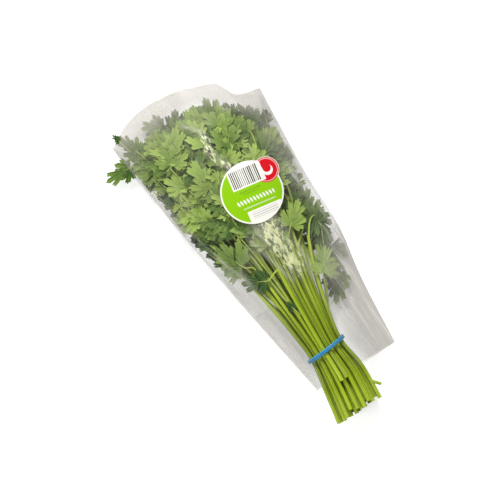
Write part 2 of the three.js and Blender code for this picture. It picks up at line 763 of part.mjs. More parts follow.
function sleeve() {
  const steps = Array.from({ length: SLEEVE_STEPS + 1 }, (_, step) => step);
  const outer = steps.map((step) => sleeveRing(step, FILM_WALL / 2));
  const inner = steps.map((step) => sleeveRing(step, -FILM_WALL / 2));
  const count = outer[0].length;
  const total = count * steps.length;
  const triangles = [];
  const quad = (a, b, c, d) => triangles.push(a, c, b, a, d, c);
  for (let step = 0; step < SLEEVE_STEPS; step += 1) {
    for (let k = 0; k < count; k += 1) {
      const a = step * count + k;
      const b = step * count + ((k + 1) % count);
      quad(a, a + count, b + count, b);
      quad(total + a, total + b, total + b + count, total + a + count);
    }
  }
  const last = SLEEVE_STEPS * count;
  for (let k = 0; k < count; k += 1) {
    const next = (k + 1) % count;
    quad(k, next, total + next, total + k);
    quad(last + k, total + last + k, total + last + next, last + next);
  }
  return geometryOf([...outer.flat(), ...inner.flat()], triangles);
}

function rubberBand() {
  const middle = stemMiddle(BAND_Y);
  const halfX = PACK_HALF_WIDTH + STEM_DIAMETER / 2 + BAND_GAP;
  const halfZ = PACK_HALF_HEIGHT + STEM_DIAMETER / 2 + BAND_GAP;
  const points = [];
  for (let k = 0; k < BAND_SIDES; k += 1) {
    const angle = (2 * Math.PI * k) / BAND_SIDES;
    for (const [out, ahead] of [[0, -1], [1, -1], [1, 1], [0, 1]]) {
      const x = (halfX + out * BAND_THICKNESS) * Math.cos(angle);
      const z = (halfZ + out * BAND_THICKNESS) * Math.sin(angle);
      points.push(vector(middle.x + x, BAND_Y + (ahead * BAND_WIDTH) / 2, middle.z + z));
    }
  }
  const triangles = [];
  const corner = (k, c) => (k % BAND_SIDES) * 4 + (c % 4);
  for (let k = 0; k < BAND_SIDES; k += 1) {
    for (let c = 0; c < 4; c += 1) {
      const [a, b] = [corner(k, c), corner(k, c + 1)];
      const [d, e] = [corner(k + 1, c), corner(k + 1, c + 1)];
      triangles.push(a, e, d, a, b, e);
    }
  }
  return geometryOf(points, triangles);
}

const stemMiddle = (y) => vector(along(BUNDLE, y, "x"), y, along(BUNDLE, y, "z"));

// How far the label's edge is from the middle of its large disc, at an angle in plan.
function labelReach(angle) {
  const toBadge = vector(BADGE.x - LABEL.x, BADGE.y - LABEL.y, 0);
  const away = toBadge.length();
  const offset = angle - Math.atan2(toBadge.y, toBadge.x);
  const inside = BADGE.radius ** 2 - (away * Math.sin(offset)) ** 2;
  const badge = inside > 0 && Math.cos(offset) > 0 ? away * Math.cos(offset) + Math.sqrt(inside) : 0;
  return Math.max(LABEL.radius, badge);
}

function label() {
  const plan = [[LABEL.x, LABEL.y]];
  for (const ring of LABEL_RINGS) {
    for (let k = 0; k < LABEL_SPOKES; k += 1) {
      const angle = (2 * Math.PI * k) / LABEL_SPOKES;
      const reach = ring * labelReach(angle);
      plan.push([LABEL.x + reach * Math.cos(angle), LABEL.y + reach * Math.sin(angle)]);
    }
  }
  const onFilm = (lift) =>
    plan.map(([x, y]) => vector(x, y, filmTop(shareAcross(x, y), y) + FILM_WALL / 2 + lift));
  const count = plan.length;
  const flat = [];
  const rim = 1 + (LABEL_RINGS.length - 1) * LABEL_SPOKES;
  for (let k = 0; k < LABEL_SPOKES; k += 1) {
    const next = (k + 1) % LABEL_SPOKES;
    flat.push([0, 1 + k, 1 + next]);
    for (let start = 1; start < rim; start += LABEL_SPOKES) {
      const [a, b] = [start + k, start + next];
      flat.push([a, a + LABEL_SPOKES, b + LABEL_SPOKES], [a, b + LABEL_SPOKES, b]);
    }
  }
  const triangles = flat.flatMap(([a, b, c]) => [a, b, c, count + a, count + c, count + b]);
  for (let k = 0; k < LABEL_SPOKES; k += 1) {
    const [a, b] = [rim + k, rim + ((k + 1) % LABEL_SPOKES)];
    triangles.push(a, count + a, count + b, a, count + b, b);
  }
  return geometryOf([...onFilm(LABEL_LIFT + LABEL_THICKNESS), ...onFilm(LABEL_LIFT)], triangles);
}

// ---------------------------------------------------------------- the finished group

const finish = (color, roughness) =>
  new THREE.MeshStandardMaterial({ color, roughness, metalness: 0 });

function named(name, geometry, material) {
  const mesh = new THREE.Mesh(geometry, material);
  mesh.name = name;
  return mesh;
}

const group = new THREE.Group();
const stems = growBunch();
stems.forEach((stem, index) => {
  const name = "leafy_stem_" + String(index + 1).padStart(2, "0");
  group.add(named(name, leafyStem(stem), finish(0x6f9426, 0.55)));
});
group.add(named("rubber_band", rubberBand(), finish(0x1e8ac8, 0.5)));
group.add(named("sleeve", sleeve(), finish(0xe4e2de, 0.15)));
group.add(named("label", label(), finish(0x8edc00, 0.35)));

const box = new THREE.Box3().setFromObject(group);
const middle = box.getCenter(vector(0, 0, 0));
group.children.forEach((mesh) => mesh.position.set(-middle.x, -middle.y, -box.min.z));

export default group;
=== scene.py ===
# %% [markdown]
# # A bunch of parsley in its film sleeve
#
# This lesson dresses a plain solid model of a parsley bunch. The solids already say where each
# stem, each leaf, the rubber band, the sleeve and the label are, and how large. What is left for
# Blender is what the eye looks for: toothed leaflets with veins, stems with ridges, film that is
# clear here and milky there, and a printed label.
#
# The first cell loads the solids. Everything later is placed from them.

# %% The frame and the libraries
import math

import bpy
import numpy as np
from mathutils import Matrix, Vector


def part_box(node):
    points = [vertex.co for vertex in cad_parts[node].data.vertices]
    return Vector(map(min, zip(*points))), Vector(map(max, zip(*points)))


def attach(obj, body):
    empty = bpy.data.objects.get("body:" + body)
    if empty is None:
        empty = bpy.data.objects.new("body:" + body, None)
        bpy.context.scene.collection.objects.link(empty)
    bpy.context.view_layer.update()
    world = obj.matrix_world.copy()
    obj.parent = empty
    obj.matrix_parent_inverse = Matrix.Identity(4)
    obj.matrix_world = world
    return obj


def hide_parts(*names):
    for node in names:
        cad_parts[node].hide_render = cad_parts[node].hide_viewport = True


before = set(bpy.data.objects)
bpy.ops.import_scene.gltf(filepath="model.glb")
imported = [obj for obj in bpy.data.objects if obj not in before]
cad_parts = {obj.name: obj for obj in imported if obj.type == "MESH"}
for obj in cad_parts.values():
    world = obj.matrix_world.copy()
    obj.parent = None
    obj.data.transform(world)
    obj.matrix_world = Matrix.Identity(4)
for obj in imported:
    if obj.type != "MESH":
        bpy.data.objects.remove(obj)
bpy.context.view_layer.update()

# %% [markdown]
# Blender measures in metres, but a leaf is easier to think about in millimetres. So the lesson
# works in the bunch's own millimetres: Y runs from the cut ends to the leaf tips, X goes across
# and Z is up. The rubber band is one ring with a known middle, so the box of its solid tells how
# far those millimetres are from the frame's metres.

# %% The bunch's own millimetres
MM = 0.001
BAND_MIDDLE = np.array([4.8, 53.0, 16.2])
band_low, band_high = (np.array(corner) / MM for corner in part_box("rubber_band"))
SHIFT = (band_low + band_high) / 2 - BAND_MIDDLE


def in_frame(points):
    """Points of the bunch, in millimetres, as points of the frame, in metres."""
    return (np.asarray(points, float) + SHIFT) * MM


def unit(vectors):
    """Vectors of length one, along the last axis."""
    vectors = np.asarray(vectors, float)
    return vectors / np.maximum(np.linalg.norm(vectors, axis=-1, keepdims=True), 1e-9)


print("the bunch's origin is at", (SHIFT * MM).round(4).tolist(), "m")

# %% [markdown]
# ## The camera and the stage
#
# The bunch is seen from straight above, on white, turned so that it fills the square on its
# diagonal. A long lens keeps the tall middle from swelling. The turn is made with the camera,
# so that the bunch itself keeps its simple axes.

# %% Camera
VIEW_MIDDLE = (-1.2, 160.0, 10.0)
VIEW_WIDTH = 430.0
VIEW_TURN = -34.3
LENS = 160.0
SENSOR = 36.0

camera_data = bpy.data.cameras.new("camera")
camera_data.lens = LENS
camera_data.sensor_width = SENSOR
camera = bpy.data.objects.new("camera", camera_data)
bpy.context.scene.collection.objects.link(camera)
camera.location = in_frame(VIEW_MIDDLE)
camera.location.z += VIEW_WIDTH * MM * LENS / SENSOR
camera.rotation_euler = (0, 0, math.radians(VIEW_TURN))
bpy.context.scene.camera = camera
print("camera", round(camera.location.z, 3), "m above the floor")

# %% [markdown]
# Colours are easiest to name as the eye sees them, from 0 to 255, and Blender wants them as
# amounts of light. One small function turns one into the other.


# %% Colours by eye
def seen(red, green, blue):
    """A colour from 0 to 255, as amounts of light with a full alpha."""
    shares = [value / 255 for value in (red, green, blue)]
    light = [s / 12.92 if s <= 0.04045 else ((s + 0.055) / 1.055) ** 2.4 for s in shares]
    return (*light, 1.0)


print("a middle grey gives", round(seen(128, 128, 128)[0], 3), "of white's light")

# %% [markdown]
# ## Shaders written as sums
#
# A material is a graph of nodes, but most of it is arithmetic. The class below wraps one socket
# and gives it the usual operators, each of which adds a Math node. Colours go through a Mix
# node, because a Math node would turn them grey. Any other node comes from one method, `add`.


# %% A socket that can be used in sums
class Sock:
    """An output socket with the usual operators."""

    def __init__(self, shade, socket):
        self.shade = shade
        self.socket = socket

    def math(self, operation, *others, flipped=False):
        values = [*others, self] if flipped else [self, *others]
        return self.shade.add("Math", {"operation": operation}, dict(enumerate(values)))

    def __add__(self, other):
        return self.math("ADD", other)

    def __sub__(self, other):
        return self.math("SUBTRACT", other)

    def __mul__(self, other):
        return self.math("MULTIPLY", other)

    def __truediv__(self, other):
        return self.math("DIVIDE", other)

    def __pow__(self, other):
        return self.math("POWER", other)

    def __radd__(self, other):
        return self.math("ADD", other, flipped=True)

    def __rsub__(self, other):
        return self.math("SUBTRACT", other, flipped=True)

    def __rmul__(self, other):
        return self.math("MULTIPLY", other, flipped=True)

    def __rtruediv__(self, other):
        return self.math("DIVIDE", other, flipped=True)

    def __abs__(self):
        return self.math("ABSOLUTE")

    def floor(self):
        return self.math("FLOOR")

    def fraction(self):
        return self.math("FRACT")

    def sine(self):
        return self.math("SINE")

    def root(self):
        return self.math("SQRT")

    def least(self, other):
        return self.math("MINIMUM", other)

    def most(self, other):
        return self.math("MAXIMUM", other)

    def rise(self, low, high, start=0.0, end=1.0):
        """A soft step from start to end as the value goes from low to high."""
        settings = {"interpolation_type": "SMOOTHSTEP"}
        values = {"Value": self, "From Min": low, "From Max": high, "To Min": start, "To Max": end}
        return self.shade.add("MapRange", settings, values)


print("a socket knows", [name for name in vars(Sock) if not name.startswith("_")])

# %% [markdown]
# The second class holds a material while it is put together. Its `add` takes a node's kind, its
# settings, and the values or links of its sockets, and gives one of its outputs. What is used
# often, such as noise, a bump or a mesh's map, has a short method of its own.


# %% A material under construction
class Shade:
    """A material, or the world, and the methods that add nodes to it."""

    def __init__(self, name, kind="materials"):
        self.owner = getattr(bpy.data, kind).new(name)
        self.owner.use_nodes = True
        self.tree = self.owner.node_tree
        self.tree.nodes.clear()

    def node(self, kind, settings, values):
        """One new node. Its settings come first, because some of them change its sockets."""
        made = self.tree.nodes.new("ShaderNode" + kind)
        for name, value in settings.items():
            setattr(made, name, value)
        for name, value in values.items():
            if isinstance(value, Sock):
                self.tree.links.new(value.socket, made.inputs[name])
            else:
                made.inputs[name].default_value = value
        return made

    def add(self, kind, settings=None, values=None, output=0):
        """Adds a node of a kind, with its settings and its inputs, and gives one output."""
        return Sock(self, self.node(kind, settings or {}, values or {}).outputs[output])

    def mix(self, share, first, second):
        """A colour between two colours."""
        values = {0: share, 6: first, 7: second}
        return self.add("Mix", {"data_type": "RGBA"}, values, output=2)

    def map(self, name):
        """The two coordinates of one of the mesh's maps."""
        place = self.node("SeparateXYZ", {}, {0: self.add("UVMap", {"uv_map": name})})
        return Sock(self, place.outputs["X"]), Sock(self, place.outputs["Y"])

    def noise(self, scale, detail=2.0, stretch=None, roughness=0.5):
        """Soft noise from 0 to 1 in the piece's own space, turned and stretched if asked."""
        vector = self.add("TexCoord", {}, {}, "Object")
        if stretch:
            mapping = {"Vector": vector, "Rotation": stretch[0], "Scale": stretch[1]}
            vector = self.add("Mapping", {}, mapping)
        values = {"Vector": vector, "Scale": scale, "Detail": detail, "Roughness": roughness}
        return self.add("TexNoise", {}, values, "Fac")

    def bump(self, height, distance, strength=1.0):
        """A direction for the surface, as if it were raised by height times distance."""
        values = {"Height": height, "Distance": distance, "Strength": strength}
        return self.add("Bump", {}, values)

    def finish(self, surface, output="OutputMaterial"):
        """Links the surface to the material's output and gives the material."""
        self.node(output, {}, {"Surface": surface})
        return self.owner


print("a material knows", [name for name in vars(Shade) if not name.startswith("_")])

# %% [markdown]
# ## Meshes from patches
#
# Every piece is put together from patches: a grid of leaf, a tube of stem, a cut face. A patch
# brings its points, its faces and, for each corner of each face, two maps. The map called `plan`
# holds the coordinates that patterns are drawn in, such as veins or print. The map called
# `tone` holds a random shade and the side of the leaf, so that one material serves many leaves.


# %% Gathering patches into one mesh
class Pile:
    """The patches of one piece."""

    def __init__(self):
        self.points = []
        self.faces = []
        self.plan = []
        self.tone = []
        self.finishes = []
        self.count = 0

    def add(self, points, faces, plan, tone=(0.5, 0.0), finish=0):
        """plan is one pair for each corner of each face, in the faces' order."""
        self.points.append(np.asarray(points, float))
        self.faces.extend([[corner + self.count for corner in face] for face in faces])
        plan = np.asarray(plan, float).reshape(-1, 2)
        self.plan.append(plan)
        self.tone.append(np.broadcast_to(np.asarray(tone, float), plan.shape))
        self.finishes.extend([finish] * len(faces))
        self.count += len(points)

    def piece(self, name, materials, crisp=50.0):
        """One smooth-shaded object, with edges sharper than crisp degrees kept crisp."""
        mesh = bpy.data.meshes.new(name)
        mesh.from_pydata(in_frame(np.concatenate(self.points)).tolist(), [], self.faces)
        for map_name, values in (("plan", self.plan), ("tone", self.tone)):
            layer = mesh.uv_layers.new(name=map_name)
            layer.data.foreach_set("uv", np.concatenate(values).astype(np.float32).ravel())
        for material in materials:
            mesh.materials.append(material)
        mesh.polygons.foreach_set("material_index", self.finishes)
        mesh.shade_smooth()
        mesh.set_sharp_from_angle(angle=math.radians(crisp))
        mesh.validate()
        made = bpy.data.objects.new(name, mesh)
        bpy.context.scene.collection.objects.link(made)
        return made


print("an empty pile has", Pile().count, "points")

# %% [markdown]
# Most patches are one of two kinds of grid. A plain grid has rows and columns and may close on
# itself, like the film and the stems. A fan has one middle point and rings round it, like a
# leaflet or the label. Leaves and paper are fans with two sides and a thin wall round the rim.


# %% Grids, fans and thin sheets
def grid_faces(rows, columns, wrap=False, loop=False):
    """Quads of a grid. With wrap, each row closes on itself, and with loop the rows do too."""
    faces = []
    for r in range(rows if loop else rows - 1):
        for c in range(columns if wrap else columns - 1):
            right, onward = (c + 1) % columns, (r + 1) % rows
            faces.append((r * columns + c, r * columns + right,
                          onward * columns + right, onward * columns + c))
    return faces


def fan_faces(rings, spokes, closed=False):
    """Faces of a fan: point 0 is its middle, and the other points follow ring by ring."""
    def at(ring, spoke):
        return 1 + ring * spokes + spoke % spokes

    gaps = range(spokes if closed else spokes - 1)
    faces = [(0, at(0, k + 1), at(0, k)) for k in gaps]
    for r in range(rings - 1):
        faces += [(at(r, k), at(r, k + 1), at(r + 1, k + 1), at(r + 1, k)) for k in gaps]
    return faces


def thin_sheet(pile, upper, lower, faces, rim, plan, shade, wall_side, corners=None):
    """A closed sheet: its faces above, the same turned over below, and a wall along its rim.

    plan is a pair for each point, and corners, if given, a pair for each corner of each face.
    """
    corners = corners or [plan[list(face)] for face in faces]
    pile.add(upper, faces, np.concatenate(corners), (shade, 0.0))
    turned_over = [face[::-1] for face in faces]
    pile.add(lower, turned_over, np.concatenate([pairs[::-1] for pairs in corners]), (shade, 1.0))
    count = len(upper)
    wall = [(a, b, b + count, a + count) for a, b in zip(rim, rim[1:] + rim[:1])]
    wall_plan = [plan[corner % count] for face in wall for corner in face]
    pile.add(np.concatenate([upper, lower]), wall, wall_plan, (shade, wall_side))


print("a fan of 2 rings and 5 spokes has", len(fan_faces(2, 5)), "faces")

# %% [markdown]
# Stems and stalks are tubes along a path. At each point of the path the tube needs two directions
# across it. Carrying them from one point to the next, instead of working them out afresh, keeps
# the tube from twisting, so that the ribs of a stem stay straight.


# %% Tubes along a path
def tube_frames(path):
    """At each point of a path, its heading and two directions across it, without twist."""
    heading = unit(np.gradient(path, axis=0))
    across = np.empty_like(path)
    start = np.cross(heading[0], [0.0, 0.0, 1.0])
    across[0] = unit(start if np.linalg.norm(start) > 0.1 else [1.0, 0.0, 0.0])
    for i in range(1, len(path)):
        across[i] = unit(across[i - 1] - heading[i] * (across[i - 1] @ heading[i]))
    return heading, across, np.cross(across, heading)


def tube(pile, path, radii, sides=8, tone=(0.5, 0.0), finish=0, tip=0.0, cut=None):
    """A closed tube. Its far end is drawn out by tip, and cut says the finish of its near end."""
    path = np.asarray(path, float)
    heading, across, up = tube_frames(path)
    turn = 2 * math.pi * np.arange(sides) / sides
    outwards = np.cos(turn)[:, None] * across[:, None] + np.sin(turn)[:, None] * up[:, None]
    rings = path[:, None] + np.asarray(radii, float)[:, None, None] * outwards
    steps = np.linalg.norm(np.diff(path, axis=0), axis=1)
    length = np.concatenate([[0], np.cumsum(steps)])
    faces = [face[::-1] for face in grid_faces(len(path), sides, wrap=True)]
    plan = [
        (side / sides, reached)
        for near, far in zip(length, length[1:]) for c in range(sides)
        for side, reached in ((c, far), (c + 1, far), (c + 1, near), (c, near))
    ]
    pile.add(rings.reshape(-1, 3), faces, plan, tone, finish)
    tip_points = np.vstack([rings[-1], path[-1] + heading[-1] * tip])
    tip_faces = [((c + 1) % sides, c, sides) for c in range(sides)]
    pile.add(tip_points, tip_faces, [(0.5, length[-1])] * (3 * sides), tone, finish)
    disc_plan = [(0.5 + 0.5 * math.cos(t), 0.5 + 0.5 * math.sin(t)) for t in turn]
    pile.add(rings[0], [list(range(sides))], disc_plan, tone, finish if cut is None else cut)


trial = Pile()
tube(trial, [(0, 0, 0), (0, 1, 0), (0, 2, 0)], [1, 1, 1])
print("a tube of two steps has", len(trial.faces), "faces and", trial.count, "points")

# %% [markdown]
# ## The film's surface
#
# The sleeve is two sheets that are welded along both sides. Its upper sheet arches over the
# bunch, and its lower sheet lies flat. Both are simple formulas of the place: the height at a
# share of the way across, at a distance along the bunch. The leaves are kept between them, and
# the film is later drawn from the same formulas.


# %% Smooth curves through stations
def through(places, values):
    """A function that runs smoothly through the values at the places."""
    places = np.array(places, float)
    values = np.array(values, float)
    slopes = np.gradient(values, places, edge_order=1)
    slopes[1:-1] = (values[2:] - values[:-2]) / (places[2:] - places[:-2])

    def at(place):
        place = np.clip(place, places[0], places[-1])
        i = np.clip(np.searchsorted(places, place) - 1, 0, len(places) - 2)
        span = places[i + 1] - places[i]
        t = (place - places[i]) / span
        rise = t * t * (3 - 2 * t)
        bend = span * (t * (1 - t) ** 2 * slopes[i] - t * t * (1 - t) * slopes[i + 1])
        return values[i] + rise * (values[i + 1] - values[i]) + bend

    return at


print("halfway from 10 to 20:", float(through((0, 1, 2), (10, 20, 30))(0.5)))

# %% [markdown]
# From above the sleeve is a long funnel. Its edges are nearly straight, with a slight bulge where
# the leaves press on them. Across it, the upper sheet rises steeply from the left weld, is highest
# over the bunch and falls more slowly to the right.

# %% The two sheets
FILM_HALF = 0.3  # half of the solid film's thickness
BODY_Y = (20, 53, 100, 145, 195, 240, 280, 320)
HIGH = through(BODY_Y, (35, 34.5, 36, 39, 42, 38, 28, 18))
SEAM = through(BODY_Y, (11, 10, 10, 11, 12, 11, 9, 7))
PEAK = through(BODY_Y, (0.33, 0.34, 0.37, 0.43, 0.49, 0.5, 0.5, 0.5))
FALL = through(BODY_Y, (1.2, 1.2, 1.05, 0.85, 0.66, 0.64, 0.66, 0.7))
MOUTH = through((0, 0.15, 0.33, 0.575, 0.61, 0.755, 0.79, 0.83, 0.9, 1),
                (298, 309, 313, 308, 305, 297, 291, 280, 274.5, 270.5))
FOOT_LEFT, FOOT_RIGHT = 28.0, 24.5
LEFT_X, LEFT_SLOPE, LEFT_BULGE, LEFT_LENGTH = -21.4, -0.1065, 2.4, 270
RIGHT_X, RIGHT_SLOPE, RIGHT_BULGE = 57.3, 0.1105, 4.3
RIGHT_BULGE_Y, RIGHT_BULGE_HALF = 135, 34
LEFT_RISE, UNDER_RISE = 0.5, 0.6
FLAT_FROM, FLAT_TO = 0.13, 0.9


def left_edge(y):
    bulge = LEFT_BULGE * np.sin(np.pi * np.clip((y - FOOT_LEFT) / LEFT_LENGTH, 0, 1))
    return LEFT_X + LEFT_SLOPE * (y - FOOT_LEFT) - bulge


def right_edge(y):
    bulge = RIGHT_BULGE * np.exp(-(((y - RIGHT_BULGE_Y) / RIGHT_BULGE_HALF) ** 2))
    return RIGHT_X + RIGHT_SLOPE * (y - FOOT_RIGHT) + bulge


def share_across(x, y):
    return (x - left_edge(y)) / (right_edge(y) - left_edge(y))


def film_top(x, y):
    """Height of the upper sheet, before its creases."""
    share = np.clip(share_across(x, y), 0, 1)
    seam, peak = SEAM(y), PEAK(y)
    up = np.sin(np.pi / 2 * np.clip(share / peak, 0, 1)) ** LEFT_RISE
    down = np.cos(np.pi / 2 * np.clip((share - peak) / (1 - peak), 0, 1)) ** FALL(y)
    return seam + (HIGH(y) - FILM_HALF - seam) * np.where(share < peak, up, down)


def film_under(x, y):
    """Height of the lower sheet."""
    share = np.clip(share_across(x, y), 0, 1)
    seam = SEAM(y)
    inwards = np.minimum(1, np.minimum(share / FLAT_FROM, (1 - share) / (1 - FLAT_TO)))
    return seam - (seam - FILM_HALF) * np.sin(np.pi / 2 * inwards) ** UNDER_RISE


print("film is", round(float(film_top(27.9, 199.5)), 1), "mm high under the label")

# %% [markdown]
# Film creases where a hand has gripped it. Two long creases run over this sleeve, one above the
# label and one below it. Round each of them the film is puckered: small ridges stand across the
# crease and die away to its sides. The same distance from the crease drives the shape here and
# the whitening of the film in its material later.

# %% Creases
CREASES = (
    {
        "line": ((20, 267), (19, 257), (17, 246), (21, 236), (23, 227), (17, 225)),
        "spread": 4.2, "cover": 0.85,
    },
    {
        "line": ((18, 180), (22, 167), (22, 155), (24, 141), (23, 127), (21, 114)),
        "spread": 9.0, "cover": 1.0,
    },
)
FOLDS = (
    ((2, 172), (9, 142), (15, 113)), ((37, 147), (28, 104)),
    ((-37, 212), (-28, 170), (-15, 128)), ((8, 282), (16, 274), (21, 263)),
)


def from_line(x, y, line):
    """The distance to a line of points in plan, and the share of its length at the nearest place."""
    best = np.full(np.shape(x), 1e9)
    reached = np.zeros(np.shape(x))
    length = 0.0
    for (x0, y0), (x1, y1) in zip(line, line[1:]):
        span = math.hypot(x1 - x0, y1 - y0)
        t = np.clip(((x - x0) * (x1 - x0) + (y - y0) * (y1 - y0)) / span**2, 0, 1)
        away = np.hypot(x - x0 - t * (x1 - x0), y - y0 - t * (y1 - y0))
        reached = np.where(away < best, length + t * span, reached)
        best = np.minimum(best, away)
        length += span
    return best, reached / length


def crumpled(x, y, crease):
    """How crumpled the film is near a crease, from 0 to 1, dying away at its ends and sides."""
    away, reached = from_line(x, y, crease["line"])
    ends = np.clip(np.minimum(reached, 1 - reached) * 5, 0, 1)
    return crease["cover"] * (0.15 + 0.85 * ends) * np.exp(-((away / crease["spread"]) ** 2))


print("creases:", len(CREASES), "and folds that only show as lines:", len(FOLDS))

# %% [markdown]
# Film is never quite flat either. Two sums of sines with odd lengths give it slow waves that
# don't repeat to the eye. The label is stiffer than the film and keeps it flat, so the waves and
# creases die away towards it, as they do at the welds.

# %% Waves, and room under the film
LABEL_MIDDLE = np.array([27.9, 199.5])
LABEL_RADIUS = 27.0
BADGE_MIDDLE = np.array([48.5, 208.6])
BADGE_RADIUS = 11.3
BROAD_WAVE, FINE_WAVE = 0.35, 0.25  # heights in millimetres
RIDGE_HEIGHT, RIDGE_HALF, PUCKER_HEIGHT = 1.3, 1.8, 0.8
CALM_REACH = 5  # how far from the label its flatness fades out
WELD_SHARE = 0.06  # how near to a weld, as a share of the width, the waves die away
EDGE_ROOM = 2.0


def creased(x, y):
    """How far the upper sheet stands out at its creases and waves, in millimetres."""
    lift = BROAD_WAVE * np.sin(x / 7.3 + y / 31) * np.sin(y / 13.7 - x / 17)
    lift += FINE_WAVE * np.sin(x / 2.9 + y / 57 + 1.3) * np.sin(y / 23 + 0.4)
    for crease in CREASES:
        away, reached = from_line(x, y, crease["line"])
        along = 0.7 + 0.3 * np.sin(reached * 20)
        ridge = RIDGE_HEIGHT * np.exp(-((away / RIDGE_HALF) ** 2)) * along
        pucker = PUCKER_HEIGHT * np.sin(reached * 36 + 0.3 * away) * np.cos(0.9 * away)
        lift += crumpled(x, y, crease) * (ridge + pucker)
    label = np.hypot(x - LABEL_MIDDLE[0], y - LABEL_MIDDLE[1]) - LABEL_RADIUS
    badge = np.hypot(x - BADGE_MIDDLE[0], y - BADGE_MIDDLE[1]) - BADGE_RADIUS
    calm = np.clip(np.minimum(label, badge) / CALM_REACH, 0, 1)
    share = share_across(x, y)
    inside = np.clip(np.minimum(share, 1 - share) / WELD_SHARE, 0, 1)
    return lift * calm * inside


def between_sheets(points, room=0.9):
    """The points moved, where they must be, to lie inside the film."""
    points = np.array(points, float)
    y = points[:, 1]
    x = np.clip(points[:, 0], left_edge(y) + EDGE_ROOM, right_edge(y) - EDGE_ROOM)
    top = film_top(x, y) + creased(x, y) - room
    points[:, 0] = x
    points[:, 2] = np.clip(points[:, 2], film_under(x, y) + room, top)
    return points


print("the upper crease stands out by", round(float(creased(19.0, 257.0)), 2), "mm")

# %% [markdown]
# ## Where the stems run
#
# The stems are packed as round stems pack: in rows, each shifted by half a stem. From the band
# they fan out upwards, and a little at the cut end. The rule and its seed are those of the
# solids, so each stem here is inside the solid that it stands for.

# %% Packing the stems
STEM_SEED = 5
STEM_PITCH = 4.2
THINNEST = 0.9  # of the full diameter
HALF_WIDTH, HALF_HEIGHT = 15.7, 11.3
ROW_HEIGHT = STEM_PITCH * math.sin(math.radians(60))
COLUMNS_ASIDE = 6  # more than fit
CUT_Y, CUT_RAGGED = -7.0, 8.0
SHORT_CUTS = ((-1, 24), (13, 15))
ON_TOP = 0.8  # stems above this share of the bundle's half height lie on top
FIRST_FROND_Y, LAST_FROND_Y = 138.0, 198.0
FROND_RAGGED = 6.0


def seeded(seed):
    """The solids' own stream of numbers from 0 to 1."""
    state = seed
    while True:
        state = (state * 1664525 + 1013904223) % 2**32
        yield state / 2**32


def band_places():
    """Where the stems are under the band, seen from the middle of the bundle."""
    places = []
    rows = int(HALF_HEIGHT / ROW_HEIGHT)
    for row in range(-rows, rows + 1):
        for column in range(-COLUMNS_ASIDE, COLUMNS_ASIDE + 1):
            x = column * STEM_PITCH + (STEM_PITCH / 2 if row % 2 else 0)
            z = row * ROW_HEIGHT
            if (x / HALF_WIDTH) ** 2 + (z / HALF_HEIGHT) ** 2 <= 1:
                places.append((x, z))
    return places


def make_stems():
    draw = seeded(STEM_SEED)
    stems = []
    for x, z in band_places():
        thick = THINNEST + (1 - THINNEST) * next(draw)
        on_top = z > ON_TOP * HALF_HEIGHT
        short = [y for at, y in SHORT_CUTS if on_top and abs(x - at) < STEM_PITCH]
        ragged = CUT_RAGGED * next(draw) ** 2
        inwards = 1 - math.hypot(x / HALF_WIDTH, z / HALF_HEIGHT)
        reach = FIRST_FROND_Y + (LAST_FROND_Y - FIRST_FROND_Y) * inwards
        top = reach + FROND_RAGGED * (2 * next(draw) - 1)
        wander = (2 * next(draw) - 1, 2 * next(draw) - 1)
        cut = short[0] if short else CUT_Y + ragged
        stems.append({"x": x, "z": z, "thick": thick, "cut": cut, "top": top, "wander": wander})
    return stems


stems = make_stems()
print("stems:", len(stems))

# %% [markdown]
# From its place under the band each stem runs both ways. The middle of the bundle follows one
# smooth curve, and two more curves say how far the bundle has spread by then. Where there is room
# between the stems each one wanders a little, so that the fan doesn't look combed.

# %% The way of each stem
STEM_DIAMETER, STEM_TOP_DIAMETER = 3.9, 2.2
STEM_WANDER = 0.32
BAND_Y = BAND_MIDDLE[1]
BUNDLE_Y = (-8, 26, 53, 80, 112, 135, 155, 200)
BUNDLE_X = through(BUNDLE_Y, (-1.5, 3.5, 4.8, 6.8, 9.6, 12.4, 14, 16.5))
BUNDLE_Z = through(BUNDLE_Y, (17.5, 16.8, 16.2, 17, 18.2, 19.2, 20, 20.5))
SPREAD_X = through(BUNDLE_Y, (1.38, 1.24, 1, 1.2, 1.6, 2, 2.45, 3.1))
SPREAD_Z = through(BUNDLE_Y, (1.2, 1.1, 1, 1.05, 1.16, 1.24, 1.32, 1.36))


def stem_width(stem, y):
    share = np.clip((y - BAND_Y) / (LAST_FROND_Y - BAND_Y), 0, 1)
    return stem["thick"] * (STEM_DIAMETER + (STEM_TOP_DIAMETER - STEM_DIAMETER) * share)


def stem_path(stem, y):
    """Points of the stem's middle at distances y along the bunch."""
    y = np.asarray(y, float)
    wide, high = SPREAD_X(y), SPREAD_Z(y)
    room_x = np.maximum(0, STEM_PITCH * wide - stem_width(stem, y))
    room_z = np.maximum(0, ROW_HEIGHT * high - stem_width(stem, y))
    x = BUNDLE_X(y) + stem["x"] * wide + STEM_WANDER * stem["wander"][0] * room_x
    z = BUNDLE_Z(y) + stem["z"] * high + STEM_WANDER * stem["wander"][1] * room_z
    return np.stack([x, y, z], axis=-1)


print("the first stem ends at", stem_path(stems[0], stems[0]["top"]).round(1).tolist())

# %% [markdown]
# ## Where the leaves lie
#
# Each leaf solid is a thin plate with the same outline: 17 corners from the right of its stalk,
# round its tip, to the left. The upper and the lower corner of each are as far apart as the
# plate is thick, which is how they are found among all the points of a leafy stem. From a ring
# of such corners everything about a leaf can be measured: its base, which way it points, its
# length and width, and how it is folded and arched.

# %% The points of a leafy stem
PLATE = 0.7  # how thick the leaf plates of the solids are
CORNERS = 17
SAME_LENGTH = 0.002


